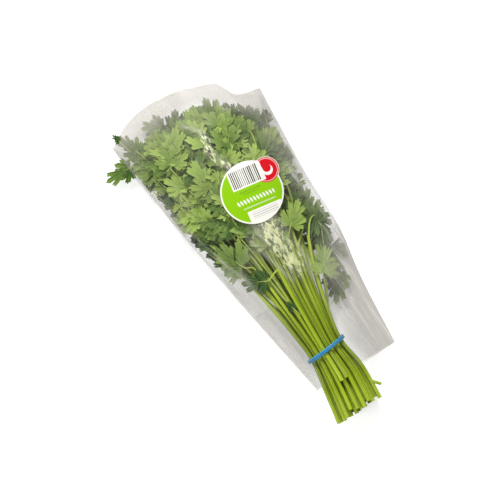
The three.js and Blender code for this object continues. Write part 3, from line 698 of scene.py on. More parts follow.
def solid_points(node):
    """A solid's points in the bunch's millimetres, and each point's neighbours."""
    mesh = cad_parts[node].data
    raw = np.empty(len(mesh.vertices) * 3, np.float32)
    mesh.vertices.foreach_get("co", raw)
    rounded = np.round(raw.reshape(-1, 3).astype(float) / MM, 4)
    points, place = np.unique(rounded, axis=0, return_inverse=True)
    place = place.reshape(-1)
    neighbours = [set() for _ in points]
    for face in mesh.polygons:
        corners = [place[v] for v in face.vertices]
        for a, b in zip(corners, corners[1:] + corners[:1]):
            neighbours[a].add(b)
            neighbours[b].add(a)
    return points - SHIFT, neighbours


def leaf_rings(points, neighbours):
    """Rings of 17 plate edges, each edge a pair of points as far apart as the plate is thick."""
    edges = [
        (a, b) for a in range(len(points)) for b in neighbours[a]
        if a < b and abs(np.linalg.norm(points[a] - points[b]) - PLATE) < SAME_LENGTH
    ]
    edge_of = {end: k for k, edge in enumerate(edges) for end in edge}
    beside = [
        {edge_of[n] for end in edge for n in neighbours[end] if n in edge_of} - {k}
        for k, edge in enumerate(edges)
    ]
    rings, used = [], set()
    for start in range(len(edges)):
        if start in used:
            continue
        ring, reached = [start], {start}
        while True:
            onward = [k for k in beside[ring[-1]] if k not in reached]
            if not onward:
                break
            ring.append(onward[0])
            reached.add(onward[0])
        used |= reached
        if len(ring) == CORNERS:
            rings.append([edges[k] for k in ring])
    return rings


first_points, first_neighbours = solid_points("leafy_stem_01")
print("the first leafy stem has", len(first_points), "points and",
      len(leaf_rings(first_points, first_neighbours)), "leaves")

# %% [markdown]
# A ring starts at the stalk, where two corners are closest together. The widest corners give the
# direction across the leaf, the plate's thickness gives its upward direction, and what is left is
# the direction in which the leaf points. The stalk is found by stepping from the leaf's foot to
# the next points of the solid, its knee, and from there to its root on the stem.

# %% How one leaf lies
WIDEST = (3, 13)  # the corners of the widest place, right and left
WIDEST_AT = (0.5, 0.38)  # where they are, in shares of the leaf's length
RIB = (0.22, 0.44)  # the plate's points along its middle


def from_the_stalk(points, ring):
    """The ring's edges from the right of the stalk round to the left, and their middles."""
    middles = np.array([points[list(edge)].mean(axis=0) for edge in ring])
    gaps = np.linalg.norm(middles - np.roll(middles, -1, axis=0), axis=1)
    start = int(np.argmin(gaps)) + 1
    order = [(start + k) % CORNERS for k in range(CORNERS)]
    ring, middles = [ring[k] for k in order], middles[order]
    base = (middles[0] + middles[-1]) / 2
    side = middles[WIDEST[0]] - middles[WIDEST[1]]
    if np.cross(side, middles[CORNERS // 2] - base)[2] < 0:
        ring, middles = ring[::-1], middles[::-1]
    return ring, middles


def stalk_ends(points, neighbours, ring, rib):
    """The knee and the root of a leaf's stalk. rib is where the plate's own middle points are."""
    foot = set(ring[0]) | set(ring[-1])
    blade = {end for edge in ring for end in edge}
    for place in rib:
        blade |= set(np.flatnonzero(np.linalg.norm(points - place, axis=1) < PLATE))
    knee = {n for end in foot for n in neighbours[end]} - blade
    root = {n for end in knee for n in neighbours[end]} - knee - blade
    return points[list(knee)].mean(axis=0), points[list(root)].mean(axis=0)


def leaf_pose(points, neighbours, ring):
    """One leaf's base, directions, size and bend, and the knee and root of its stalk."""
    ring, middles = from_the_stalk(points, ring)
    base = (middles[0] + middles[-1]) / 2
    side = middles[WIDEST[0]] - middles[WIDEST[1]]
    normal = unit(points[ring[3][0]] - points[ring[3][1]])
    normal = normal if normal[2] > 0 else -normal
    width, side = np.linalg.norm(side), unit(side)
    forward = np.cross(normal, side)
    tip = middles[CORNERS // 2] - base
    length = tip @ forward
    arch = -(tip @ normal) / length
    across, along = WIDEST_AT
    widest = (middles[WIDEST[0]] + middles[WIDEST[1]]) / 2 - base
    fold = ((widest @ normal) / length + arch * along**2) / across
    rib = [base + (ahead * forward - arch * ahead**2 * normal) * length for ahead in RIB]
    knee, root = stalk_ends(points, neighbours, ring, rib)
    return {
        "base": base, "forward": forward, "side": side, "normal": normal, "length": length,
        "width": width / (2 * across * length), "fold": fold, "arch": arch,
        "knee": knee, "root": root,
    }


def read_leaves(node):
    points, neighbours = solid_points(node)
    return [leaf_pose(points, neighbours, ring) for ring in leaf_rings(points, neighbours)]


for number, stem in enumerate(stems, start=1):
    stem["node"] = f"leafy_stem_{number:02d}"
    stem["leaves"] = read_leaves(stem["node"])
found = [leaf for stem in stems for leaf in stem["leaves"]]
print("leaves read from the solids:", len(found),
      "lengths", round(min(leaf["length"] for leaf in found), 1),
      "to", round(max(leaf["length"] for leaf in found), 1), "mm")

# %% [markdown]
# ## Leaflets
#
# A flat-leaf parsley leaf is three leaflets on one stalk, and each leaflet is lobed again: a long
# lobe in the middle and a shorter one to each side, all with blunt teeth. A leaflet spreads from
# its attachment like a fan, so the easiest grid for it is a fan too: spokes at even angles, and
# rings at shares of each spoke's reach. The outer ring gets the teeth.

# %% The outline of a leaflet
SPOKES = 49
SPREAD = 64.0  # degrees to each side of the axis
LOBE_STEP = 27.0  # degrees from one lobe to the next
# Each lobe's angle, how far it reaches as a share of the leaflet, and half its width in degrees.
LOBES = (
    (0.0, 1.0, 16.0), (27.0, 0.87, 15.5), (-27.0, 0.87, 15.5),
    (52.0, 0.56, 15.0), (-52.0, 0.56, 15.0),
)
LOBE_END = 1.3  # how far a lobe goes on, in half widths
CLEFT = 0.68  # how deep the clefts between the lobes are
NARROWEST = 0.12
TEETH = np.resize((0.05, 0.025, -0.07, 0.025), SPOKES)  # a tooth is four spokes wide
chance = np.random.default_rng(20)
spoke_angles = np.linspace(-SPREAD, SPREAD, SPOKES)


def leaflet_reach():
    """How far each spoke reaches, as a share of the leaflet's length."""
    reach = np.full(SPOKES, NARROWEST)
    for middle, far, half in LOBES:
        far = far * chance.uniform(0.86, 1.08) if middle else far
        off = np.abs(spoke_angles - middle - chance.uniform(-3, 3) * (middle != 0)) / half
        lobe = far * (1 - CLEFT * off**4) * (off < LOBE_END)
        reach = np.maximum(reach, lobe)
    teeth = TEETH * chance.uniform(0.7, 1.3)
    return reach * (1 + teeth + chance.uniform(-0.03, 0.03, SPOKES))


print("a leaflet has", len(LOBES), "lobes and", SPOKES // 4, "teeth")

# %% [markdown]
# Every leaflet has the same points and faces, only in other places, so its faces and its pattern
# map are worked out once. The map's first coordinate counts lobes, its second goes from 0 at the
# attachment to 1 at the teeth. At the attachment all spokes meet, so there each triangle gets
# the middle of its own two spokes.

# %% The faces and the map of a leaflet
RINGS = (0.34, 0.68, 1.0)
ring_shares = np.array(RINGS)[:, None]
lobes_round = spoke_angles / LOBE_STEP
spread_map = np.stack(np.broadcast_arrays(lobes_round, ring_shares), -1).reshape(-1, 2)
leaflet_map = np.concatenate([[[0.0, 0.0]], spread_map])
leaflet_faces = fan_faces(len(RINGS), SPOKES)
leaflet_corners = [leaflet_map[list(face)] for face in leaflet_faces]
for triangle in leaflet_corners[:SPOKES - 1]:
    triangle[0, 0] = (triangle[1, 0] + triangle[2, 0]) / 2
ring_points = 1 + np.arange(len(RINGS) * SPOKES).reshape(len(RINGS), SPOKES)
leaflet_rim = [0, *ring_points[:, 0], *ring_points[-1, 1:], *ring_points[-2::-1, -1]]
print("a leaflet has", len(leaflet_faces), "faces on each side and", len(leaflet_rim), "on its rim")

# %% [markdown]
# A leaflet isn't flat. It sinks along its main veins, droops or lifts towards its tip, ruffles
# at its edge, leans to one side and is folded along its middle, each as much as chance says. A
# leaflet that would come through the film is pushed back under it.

# %% One leaflet
BLADE_HALF = 0.13  # half of a leaf's thickness, a little over the real thing
VEIN_SINK = 0.014  # in shares of the leaflet's length


def on_leaf(pose, across, forwards, lift):
    """Points of a leaf, from shares of its length across and forwards, lifted off its plate."""
    across, forwards = np.asarray(across)[..., None], np.asarray(forwards)[..., None]
    bend = pose["fold"] * np.abs(across) - pose["arch"] * forwards**2
    level = bend * pose["length"] + np.asarray(lift)[..., None]
    flat = across * pose["width"] * pose["side"] + forwards * pose["forward"]
    return pose["base"] + flat * pose["length"] + level * pose["normal"]


def leaflet_relief(reach):
    """How far a leaflet stands off its plate, in shares of its length."""
    droop, ruffle = chance.uniform(-0.05, 0.16), chance.uniform(0.01, 0.04)
    roll, keel = chance.uniform(-0.2, 0.2), chance.uniform(-0.05, 0.25)
    phase = chance.uniform(0, 2 * np.pi)
    angle = np.radians(spoke_angles)
    out = ring_shares * reach
    relief = -VEIN_SINK * np.cos(2 * np.pi * lobes_round) * np.sqrt(ring_shares) - droop * out**2
    relief = relief + ruffle * ring_shares**2 * np.sin(4 * angle + phase)
    return relief + out * (roll * np.sin(angle) + keel * np.abs(np.sin(angle)))


def leaflet(pile, pose, start, axis, size, lift, tone):
    """One leaflet as a thin closed sheet, from its attachment on the leaf."""
    reach = leaflet_reach()
    relief = leaflet_relief(reach)
    far = ring_shares * reach * size
    turn = np.radians(spoke_angles) + math.radians(axis)
    across = np.append(start[0], start[0] + far * np.sin(turn))
    forwards = np.append(start[1], start[1] + far * np.cos(turn))
    level = np.append(lift, lift + size * pose["length"] * relief)
    half = np.full(len(level), BLADE_HALF)
    half[-SPOKES:] /= 2
    upper = on_leaf(pose, across, forwards, level + half)
    lower = on_leaf(pose, across, forwards, level - half)
    if not pose.get("outside"):
        middle = (upper + lower) / 2
        shift = between_sheets(middle) - middle
        upper, lower = upper + shift, lower + shift
    thin_sheet(pile, upper, lower, leaflet_faces, leaflet_rim, leaflet_map, tone, 0.5, leaflet_corners)


print("a leaflet is", 2 * BLADE_HALF, "mm thick")

# %% [markdown]
# A leaf is three leaflets: one at the end of its rib, and one to each side of its foot. Light
# comes from above, so the leaves at the bottom of the head get painted shade in their colour, and so
# do those that hang down over the stems. A few listed places get more painted shade or painted light.

# %% A whole leaf
# Places in the head where the leaves get painted shade or painted light: x, y, reach and by how much.
PAINTED_SHADE_PLACES = ((-22.0, 184.0, 30.0, -0.85), (-34.0, 262.0, 26.0, -0.35))
PAINTED_LIGHT_PLACES = ((-2.0, 230.0, 34.0, 0.5), (50.0, 107.0, 34.0, 0.8))
END_START, END_SIZE = (0.0, 0.33), 0.7
SIDE_START, SIDE_SIZE, SIDE_AXIS = (0.03, 0.1), 0.62, 54.0
SIDE_SINK, RIB_SINK = -0.35, -0.25  # millimetres below the end leaflet
RIB_STEPS, RIB_SIDES = 6, 6
STALK, CUT = 1, 2  # the places of the stem's and the cut's materials in a sprig
WHOLE_STEM, LARGE_STALK, FINE_STALK = 1.0, 1.5, 2.0  # in the map called tone


def ramp(value, start, end):
    """0 before start, 1 beyond end and a straight line between them, in either direction."""
    return np.clip((value - start) / (end - start), 0, 1)


def leaf_tone_and_painted_shading(pose):
    """How pale a leaf is: a random tone with painted shade, darker lower under the film and at listed
    places, lighter at others.
    """
    x, y, z = pose["base"] + 0.5 * pose["length"] * pose["forward"]
    low, high = film_under(x, y), film_top(x, y)
    lit = np.clip((z - low) / max(high - low, 1.0), 0, 1)
    tone = (0.18 + 0.85 * chance.uniform(0, 1) ** 1.1) * (0.25 + 0.85 * lit**1.5)
    # Painted shade: leaves low at the left, over the stems, are darker.
    tone *= 1 - 0.4 * ramp(y, 170, 120) * ramp(x, 40, 25)
    for place_x, place_y, reach, gain in PAINTED_SHADE_PLACES + PAINTED_LIGHT_PLACES:
        tone *= 1 + gain * max(0, 1 - math.hypot(x - place_x, y - place_y) / reach)
    return pose.get("tone", tone)


def leaf(pile, pose, rib_radius):
    """Three leaflets and the rib that joins them."""
    tone = leaf_tone_and_painted_shading(pose)
    leaflet(pile, pose, END_START, chance.uniform(-5, 5), END_SIZE, 0.0, tone)
    for hand in (-1, 1):
        axis = hand * (SIDE_AXIS + chance.uniform(-7, 7))
        size = SIDE_SIZE * chance.uniform(0.88, 1.04)
        start = (hand * SIDE_START[0], SIDE_START[1])
        leaflet(pile, pose, start, axis, size, SIDE_SINK, tone + chance.uniform(-0.16, 0.16))
    ahead = np.linspace(0, END_START[1] + 0.05, RIB_STEPS)
    rib = on_leaf(pose, np.zeros(RIB_STEPS), ahead, np.full(RIB_STEPS, RIB_SINK))
    if not pose.get("outside"):
        rib = between_sheets(rib)
    radii = rib_radius * np.linspace(1, 0.45, RIB_STEPS)
    tube(pile, rib, radii, RIB_SIDES, (tone, FINE_STALK), STALK)


print("side leaflets are", round(100 * SIDE_SIZE / END_SIZE), "% as long as the end one")

# %% [markdown]
# Stalks leave the stem in its own direction, pass their knee and end in the leaf's direction. A
# curve with those three headings is what a growing stalk looks like.


# %% Stalks
STALK_SMOOTHINGS = 9
BOW = 0.4  # how strongly a stalk keeps to its headings
OUTSIDE_TONE = 0.3


def stalk_path(stem_heading, pose, steps=7):
    """A smooth path from the leaf's root on its stem, over its knee, to its base."""
    root, knee, base = pose["root"], pose["knee"], pose["base"]
    first, second = np.linalg.norm(knee - root), np.linalg.norm(base - knee)
    bend = unit(base - root)
    spans = (
        (root, knee, stem_heading * first, bend * first),
        (knee, base, bend * second, unit(pose["forward"] + bend) * second),
    )
    path = []
    for start, end, leave, arrive in spans:
        t = np.linspace(0, 1, steps, endpoint=end is base)[:, None]
        rise = t * t * (3 - 2 * t)
        bow = BOW * (t * (1 - t) ** 2 * leave - t * t * (1 - t) * arrive)
        path.append(start + rise * (end - start) + bow)
    path = np.concatenate(path)
    for _ in range(STALK_SMOOTHINGS):
        path[1:-1] = (path[:-2] + 2 * path[1:-1] + path[2:]) / 4
    return path


for stem in stems:
    before, after = stem_path(stem, np.array([stem["top"] - 3, stem["top"]]))
    stem["heading"] = unit(after - before)
    for pose in stem["leaves"]:
        tip = pose["base"] + pose["length"] * pose["forward"]
        pose["outside"] = bool(tip[0] < left_edge(tip[1]))
        if pose["outside"]:
            pose["tone"] = OUTSIDE_TONE
        pose["stalk"] = stalk_path(stem["heading"], pose)
print("leaves outside the film:", sum(pose["outside"] for pose in found))

# %% [markdown]
# The solids leave room between their leaves, and in a real bunch that room is full. So more,
# smaller leaves are scattered: each is tried at a random place in the head, turned away from
# the point that the stems fan out from, and kept if nothing else is as near as a leaf needs.

# %% The head's outline
HEAD = (
    (-50, 286), (-38, 293), (-17, 288), (5, 293), (23, 292), (43, 281), (58, 260), (77, 252),
    (78, 233), (73, 202), (70, 169), (69, 150), (60, 121), (52, 95), (43, 84), (33, 96),
    (43, 127), (42, 160), (36, 180), (6, 180), (-20, 158), (-31, 170), (-34, 196), (-40, 232),
    (-50, 274),
)


def in_head(x, y):
    """Whether places in plan are inside the head's outline."""
    inside = np.zeros(np.shape(x), bool)
    for (x0, y0), (x1, y1) in zip(HEAD, HEAD[1:] + HEAD[:1]):
        if y0 != y1:
            crossed = ((y0 > y) != (y1 > y)) & (x < x0 + (y - y0) * (x1 - x0) / (y1 - y0))
            inside = inside ^ crossed
    return inside


grid_x, grid_y = np.meshgrid(np.arange(-60, 90), np.arange(70, 310))
print("the head covers", round(in_head(grid_x, grid_y).sum() / 100), "square centimetres")

# %% [markdown]
# A random leaf starts anywhere in the head, a little more often near the top sheet, where it
# will be seen. It points away from the place that the stems fan out from, give or take some 30
# degrees, and is tilted a little. Its tip must be in the head as well, but a few may stray out.

# %% A random leaf in the head
FAN = np.array([12.0, 95.0, 18.0])  # the place that the stems fan out from
HEAD_X, HEAD_Y = (-50, 78), (84, 300)
SPRAY_FROM_X, SPRAY_TO_Y, SPRAY_EMPTY = 42, 190, 0.75  # the loose spray at the right
SHEET_ROOM = 2.0
SMALL_LENGTH, SMALL_WIDTH = (18.0, 33.0), (0.85, 1.05)
SMALL_FOLD, SMALL_ARCH = (0, 0.2), (-0.05, 0.2)
TURN_SPREAD = 30  # degrees
DIP, LEAN = (-0.5, 0.25), (-0.35, 0.35)
STRAYS = 0.3  # the share of leaves that may look out of the outline
STRAY_Y, STRAY_SHARES = 160, (0.05, 0.95)
TIP_ROOM = 13.0  # from the mouth down to the tips of those


def may_stray(tip):
    """Whether a leaf with this tip may look out of the head's outline."""
    share = share_across(tip[0], tip[1])
    across = STRAY_SHARES[0] < share < STRAY_SHARES[1]
    in_film = across and STRAY_Y < tip[1] < MOUTH(share) - TIP_ROOM
    return chance.uniform(0, 1) < STRAYS and in_film


def small_pose():
    """A random leaf in the head, or None where the head is empty."""
    x, y = chance.uniform(*HEAD_X), chance.uniform(*HEAD_Y)
    if not in_head(x, y):
        return None
    if x > SPRAY_FROM_X and y < SPRAY_TO_Y and chance.uniform(0, 1) < SPRAY_EMPTY:
        return None
    low, high = float(film_under(x, y)) + SHEET_ROOM, float(film_top(x, y)) - SHEET_ROOM
    z = low + (high - low) * chance.uniform(0, 1) ** 0.75
    away = unit(np.array([x, y]) - FAN[:2])
    turn = math.radians(chance.normal(0, TURN_SPREAD))
    level = np.array([away[0] * math.cos(turn) - away[1] * math.sin(turn),
                      away[0] * math.sin(turn) + away[1] * math.cos(turn), 0.0])
    forward = unit(level + [0, 0, chance.uniform(*DIP)])
    side = unit(np.cross(forward, [0, 0, 1.0]) + [0, 0, chance.uniform(*LEAN)])
    side = unit(side - forward * (side @ forward))
    pose = {
        "base": np.array([x, y, z]), "forward": forward, "side": side,
        "normal": np.cross(side, forward), "length": chance.uniform(*SMALL_LENGTH),
        "width": chance.uniform(*SMALL_WIDTH), "fold": chance.uniform(*SMALL_FOLD),
        "arch": chance.uniform(*SMALL_ARCH), "outside": False,
    }
    tip = pose["base"] + pose["length"] * forward
    strays = may_stray(tip)
    return pose if in_head(*tip[:2]) or strays else None


print("small leaves are", SMALL_LENGTH[0], "to", SMALL_LENGTH[1], "mm long")

# %% [markdown]
# Each tried leaf is tested at eleven of its points. It is dropped if the film would push it far,
# or if another leaf is too near. A leaf that is kept grows on the stem whose own direction
# points at it best and which isn't too far off.

# %% Placing the smaller leaves
SMALL_COUNT, SMALL_TRIES = 270, 14000
SMALL_GAP = 1.1
PROBE_ROOM, PROBE_PUSH = 1.5, 2.5
TURN_COST, DISTANCE_COST, BACKWARD_COST = 60.0, 1 / 3, 200.0
LOWEST_STALK = 76.0
PROBE_ACROSS = np.array([0, 0, 0, 0.24, -0.24, 0.45, -0.45, 0.25, -0.25, 0.1, -0.1])
PROBE_FORWARDS = np.array([0.1, 0.5, 0.95, 0.7, 0.7, 0.35, 0.35, 0.25, 0.25, 0.35, 0.35])


def probe(pose):
    """A few points of a leaf, to keep leaves apart."""
    return on_leaf(pose, PROBE_ACROSS, PROBE_FORWARDS, np.zeros(len(PROBE_ACROSS)))


taken = np.concatenate([probe(pose) for pose in found])
tops = np.array([stem_path(stem, np.array([stem["top"]]))[0] for stem in stems])
fan_out = unit(tops - FAN)


def has_room(points):
    """Whether a leaf's points are under the film and clear of the leaves placed so far."""
    if np.abs(between_sheets(points, PROBE_ROOM) - points).max() > PROBE_PUSH:
        return False
    return np.linalg.norm(taken[:, None] - points[None], axis=2).min() >= SMALL_GAP


def owner_of(pose):
    """The stem that a leaf grows on."""
    towards = pose["base"] - tops
    cost = TURN_COST * np.linalg.norm(unit(towards) - fan_out, axis=1)
    cost = cost + np.linalg.norm(towards, axis=1) * DISTANCE_COST
    return stems[int(np.argmin(cost + BACKWARD_COST * (towards[:, 1] < 4)))]


def give_stalk(pose, owner):
    """A stalk from the owner, which leaves it below the leaf and below the owner's own top."""
    highest = min(owner["top"], pose["base"][1] - 20)
    leaving = max(LOWEST_STALK, highest - chance.uniform(5, 75))
    pose["root"] = stem_path(owner, np.array([leaving]))[0]
    pose["knee"] = pose["root"] * 0.45 + pose["base"] * 0.55 + chance.normal(0, 0.8, 3)
    pose["stalk"] = between_sheets(stalk_path(owner["heading"], pose))


small_leaves = 0
for _ in range(SMALL_TRIES):
    pose = small_pose()
    if pose is None or not has_room(probe(pose)):
        continue
    owner = owner_of(pose)
    give_stalk(pose, owner)
    owner.setdefault("small", []).append(pose)
    taken = np.concatenate([taken, probe(pose)])
    small_leaves += 1
    if small_leaves == SMALL_COUNT:
        break
print("smaller leaves:", small_leaves)

# %% [markdown]
# A few small things break the even look: a young leaf that lies on top of the stems above the
# band, and two that look out at the mouth.

# %% Young leaves
YOUNG_LEAVES = (
    {"at": (2.0, 97.0), "towards": (-0.25, 1.0, 0.02), "length": 9.5, "height": None, "from": 7.0},
    {"at": (-41.0, 299.0), "towards": (-0.2, 1.0, 0.2), "length": 9.0, "height": 15.0, "from": 26.0},
    {"at": (73.0, 244.0), "towards": (0.35, 1.0, 0.1), "length": 10.0, "height": 16.0, "from": 20.0},
)
YOUNG_LIFT = 2.6  # from the middle of a stem to the leaf that lies on it
NEAR_STEM = 2.2


def topmost(x, y):
    """The stem that lies on top at a place in plan."""
    paths = np.array([stem_path(stem, np.array([y]))[0] for stem in stems])
    beside = np.abs(paths[:, 0] - x) > NEAR_STEM
    return stems[int(np.argmax(np.where(beside, 0, paths[:, 2])))]


def young_pose(young):
    """A small leaf at a given place. One without a height lies on the topmost stem."""
    x, y = young["at"]
    if young["height"] is None:
        owner = topmost(x, y)
        base = stem_path(owner, np.array([y]))[0] + [0, 0, YOUNG_LIFT]
    else:
        base = np.array([x, y, young["height"]])
        owner = stems[int(np.argmin(np.linalg.norm(tops - base, axis=1)))]
    ahead = unit(young["towards"])
    side = unit(np.cross(ahead, [0, 0, 1.0]))
    pose = {
        "base": base, "forward": ahead, "side": side, "normal": np.cross(side, ahead),
        "length": young["length"], "width": 0.8, "tone": 0.1, "fold": 0.15, "arch": 0.1,
        "outside": young["height"] is not None,
        "root": base - young["from"] * ahead - [0, 0, 2.4],
        "knee": base - 0.45 * young["from"] * ahead,
    }
    pose["stalk"] = stalk_path(ahead, pose, 4)
    owner.setdefault("small", []).append(pose)
    return owner["node"]


young_on = [young_pose(young) for young in YOUNG_LEAVES]
print("young leaves on", young_on)

# %% [markdown]
# Where a stem was cut, the stump of a side shoot may stay on it. Here it is a short bent tube on
# the stem that is furthest to the right there.

# %% The side shoot
SHOOT_ROOT_Y = 18.0
SHOOT_WAY = ((21.5, 9.0, 1.0), (27.0, 2.5, 2.0))  # x, y and how far above its root
SHOOT_RADII = (1.5, 1.4, 1.2)
at_root = np.array([stem_path(stem, np.array([SHOOT_ROOT_Y]))[0] for stem in stems])
shoot_owner = stems[int(np.argmax(at_root[:, 0]))]
shoot_root = at_root[np.argmax(at_root[:, 0])]
shoot_way = [(x, y, shoot_root[2] + rise) for x, y, rise in SHOOT_WAY]
shoot_owner["shoot"] = np.array([shoot_root, *shoot_way])
print("a side shoot on", shoot_owner["node"])

# %% [markdown]
# ## Leaf green
#
# A leaf is not one green. Its veins are paler than the web between them, its underside is
# greyer, and light that comes through it is yellower than light off it. The fan coordinates of
# the leaflets make the veins easy: folding the angle at every lobe gives the distance to the
# nearest main vein, and slanted stripes beside it are the side veins.

# %% The veins of a leaflet
SIDE_VEINS = 7.0  # from the foot of a leaflet to its teeth
leaf_green = Shade("leaf green")
around, outward = leaf_green.map("plan")
shade_of, side_of = leaf_green.map("tone")
folded = ((around + 0.5).fraction() - 0.5) * math.radians(LOBE_STEP)
beside = abs(folded.sine()) * outward
main_vein = 1.0 - beside.rise(0.004, 0.022)
along = outward - 0.9 * beside
stripe = abs((along * SIDE_VEINS).fraction() - 0.5)
side_vein = (1.0 - stripe.rise(0.02, 0.09)) * outward.rise(0.12, 0.3) * 0.55
veins = main_vein.most(side_vein)
print("the veins take", len(leaf_green.tree.nodes), "nodes")

# %% [markdown]
# The web between the veins runs from dark to pale with each leaf's tone and its painted shade, a
# little mottled, and paler towards its edge: a painted shade darkens each leaflet's heart. Part of
# the light comes through: a translucent surface is mixed in.

# %% Leaf material
DARK_AND_SHADED_WEB, PALE_WEB, UNDERSIDE = seen(18, 60, 12), seen(146, 170, 80), seen(116, 138, 80)
VEIN, LIGHT_THROUGH = seen(146, 170, 72), seen(118, 152, 26)
# Every piece is put together from patches: a grid of leaf, a tube of stem, a cut face. A patch brings
# its points, its faces and, for each corner of each face, two maps. The map called `plan` holds the
# coordinates that patterns are drawn in, such as veins or print. The map called `tone` holds a shade,
# random and with painted shade, and the side of the leaf, so that one material serves many leaves.
SHARE_THROUGH = 0.22
VEIN_DEPTH = 0.0006  # in metres, like every bump
mottle = leaf_green.noise(260.0, 3.0)
# Painted shade: the tone's shading, and darker leaflet hearts where leaflets overlap.
depth = (shade_of * 0.9 + mottle * 0.2 + outward * 0.24).rise(0.25, 1.13)
web = leaf_green.mix(depth, DARK_AND_SHADED_WEB, PALE_WEB)
web = leaf_green.mix(side_of.rise(0.5, 0.9) * 0.6, web, UNDERSIDE)
bumped = leaf_green.bump(mottle * 0.4 - veins * 0.6, VEIN_DEPTH, 0.5)
leaf_values = {
    "Base Color": leaf_green.mix(veins * 0.45, web, VEIN), "Roughness": 0.4 + 0.2 * mottle,
    "IOR": 1.42, "Specular IOR Level": 0.25, "Normal": bumped,
}
leaf_body = leaf_green.add("BsdfPrincipled", {}, leaf_values)
leaf_glow = leaf_green.add("BsdfTranslucent", {}, {"Color": LIGHT_THROUGH, "Normal": bumped})
leaf_surface = leaf_green.add("MixShader", {}, {0: SHARE_THROUGH, 1: leaf_body, 2: leaf_glow})
leaf_material = leaf_green.finish(leaf_surface)
print(leaf_material.name, "has", len(leaf_material.node_tree.nodes), "nodes")

# %% [markdown]
# ## Stems
#
# A parsley stem is a ribbed rod. The ribs are fine, so they are in the material: lighter lines
# that run along it, partly the stem's own paler green and partly painted highlight. Stems that lie
# under others get painted shade. Near the cut, and again up under the leaves, a stem is paler. A
# cut end shows a wet, pale pith in a green ring.

# %% Stem material
RIBS = 7
RIB_DEPTH = 0.0004
DARK_AND_SHADED_STEM, PALE_STEM = seen(40, 62, 0), seen(150, 172, 18)
STEM_END, STALK_GREEN = seen(172, 192, 66), seen(172, 190, 104)
stem_green = Shade("stem green")
turned, length_along = stem_green.map("plan")
shade_of, kind_of = stem_green.map("tone")
rib = (turned * (2 * math.pi * RIBS)).sine() * 0.5 + 0.5
mottle = stem_green.noise(90.0, 3.0)
# The ribs' paler lines are partly the stem's own green and partly painted highlight; shade_of carries
# painted shade.
pale = (shade_of * 0.8 + mottle * 0.2 + rib * 0.4).rise(0.1, 1.1)
colour = stem_green.mix(pale, DARK_AND_SHADED_STEM, PALE_STEM)
pale_ends = length_along.rise(70, 140, 0, 0.6).most(length_along.rise(6, 34, 0.3, 0))
colour = stem_green.mix(pale_ends, colour, STEM_END)
colour = stem_green.mix(kind_of.rise(1.2, 1.8) * 0.75, colour, STALK_GREEN)
stem_values = {
    "Base Color": colour, "Roughness": 0.34 + 0.16 * mottle, "IOR": 1.42,
    "Specular IOR Level": 0.3, "Normal": stem_green.bump(rib, RIB_DEPTH, 0.7),
}
stem_material = stem_green.finish(stem_green.add("BsdfPrincipled", {}, stem_values))
print(stem_material.name, "has", len(stem_material.node_tree.nodes), "nodes")

# %% [markdown]
# The map of a cut face is a disc in the unit square, so the distance to its middle tells the
# pith from the ring round it.

# %% Cut stem material
PITH, PITH_RING = seen(214, 222, 160), seen(150, 176, 62)
pith = Shade("cut stem")
disc_x, disc_y = pith.map("plan")
from_middle = ((disc_x - 0.5) ** 2.0 + (disc_y - 0.5) ** 2.0).root()
tissue = pith.mix(from_middle.rise(0.2, 0.42), PITH, PITH_RING)
pith_values = {"Base Color": tissue, "Roughness": 0.3, "IOR": 1.4}
pith_material = pith.finish(pith.add("BsdfPrincipled", {}, pith_values))
print(pith_material.name, "has", len(pith_material.node_tree.nodes), "nodes")

# %% [markdown]
# Now the sprigs. Each is one stem with its cut face, its stalks and its leaves, and each stands
# for one leafy stem of the solids.

# %% Growing the sprigs
STEM_STEPS, STEM_SIDES = 30, 12
PAINTED_SHADE_ROWS = 2.4  # rows below the top of the bundle where the stems are darkest
LARGE = {"radii": (0.95, 0.55), "sides": 8, "kind": LARGE_STALK, "tip": 0.4, "rib": 0.55}
SMALL = {"radii": (0.8, 0.5), "sides": 6, "kind": FINE_STALK, "tip": 0.3, "rib": 0.42}


def painted_light_share(stem):
    """How much of a stem's colour is kept, from 0.1 to 1: painted shade from the stems above it."""
    top = HALF_HEIGHT * math.sqrt(1 - (stem["x"] / HALF_WIDTH) ** 2)
    return float(np.clip(1.3 - (top - stem["z"]) / (PAINTED_SHADE_ROWS * ROW_HEIGHT), 0.1, 1))


def grow(pile, pose, size, tone):
    """A leaf on its stalk. size says how thick the stalk is."""
    radii = np.linspace(*size["radii"], len(pose["stalk"]))
    tube(pile, pose["stalk"], radii, size["sides"], (tone, size["kind"]), STALK, size["tip"])
    leaf(pile, pose, size["rib"])


for stem in stems:
    pile = Pile()
    # A random tone, darkened by painted shade where a stem lies under others.
    tone = (0.2 + 0.66 * chance.uniform(0, 1)) * painted_light_share(stem)
    places = np.linspace(stem["cut"], stem["top"], STEM_STEPS)
    radii = stem_width(stem, places) / 2
    tube(pile, stem_path(stem, places), radii, STEM_SIDES, (tone, WHOLE_STEM), STALK, 0.6, CUT)
    for pose in stem["leaves"]:
        grow(pile, pose, LARGE, tone)
    for pose in stem.get("small", []):
        grow(pile, pose, SMALL, tone)
    if "shoot" in stem:
        tube(pile, stem["shoot"], SHOOT_RADII, 8, (tone, WHOLE_STEM), STALK, 0.3, CUT)
    sprig_name = stem["node"].replace("leafy_stem", "sprig")
    sprig = pile.piece(sprig_name, [leaf_material, stem_material, pith_material])
    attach(sprig, "root")
    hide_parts(stem["node"])
    stem["piece"] = sprig
print("sprigs:", len(stems), "faces:", sum(len(stem["piece"].data.polygons) for stem in stems))

# %% [markdown]
# ## The rubber band
#
# One round band is looped twice round the stems, so two strands lie side by side, a little
# askew. A real one crosses itself at the back. That place is out of sight, so here both strands
# run side by side all the way round.

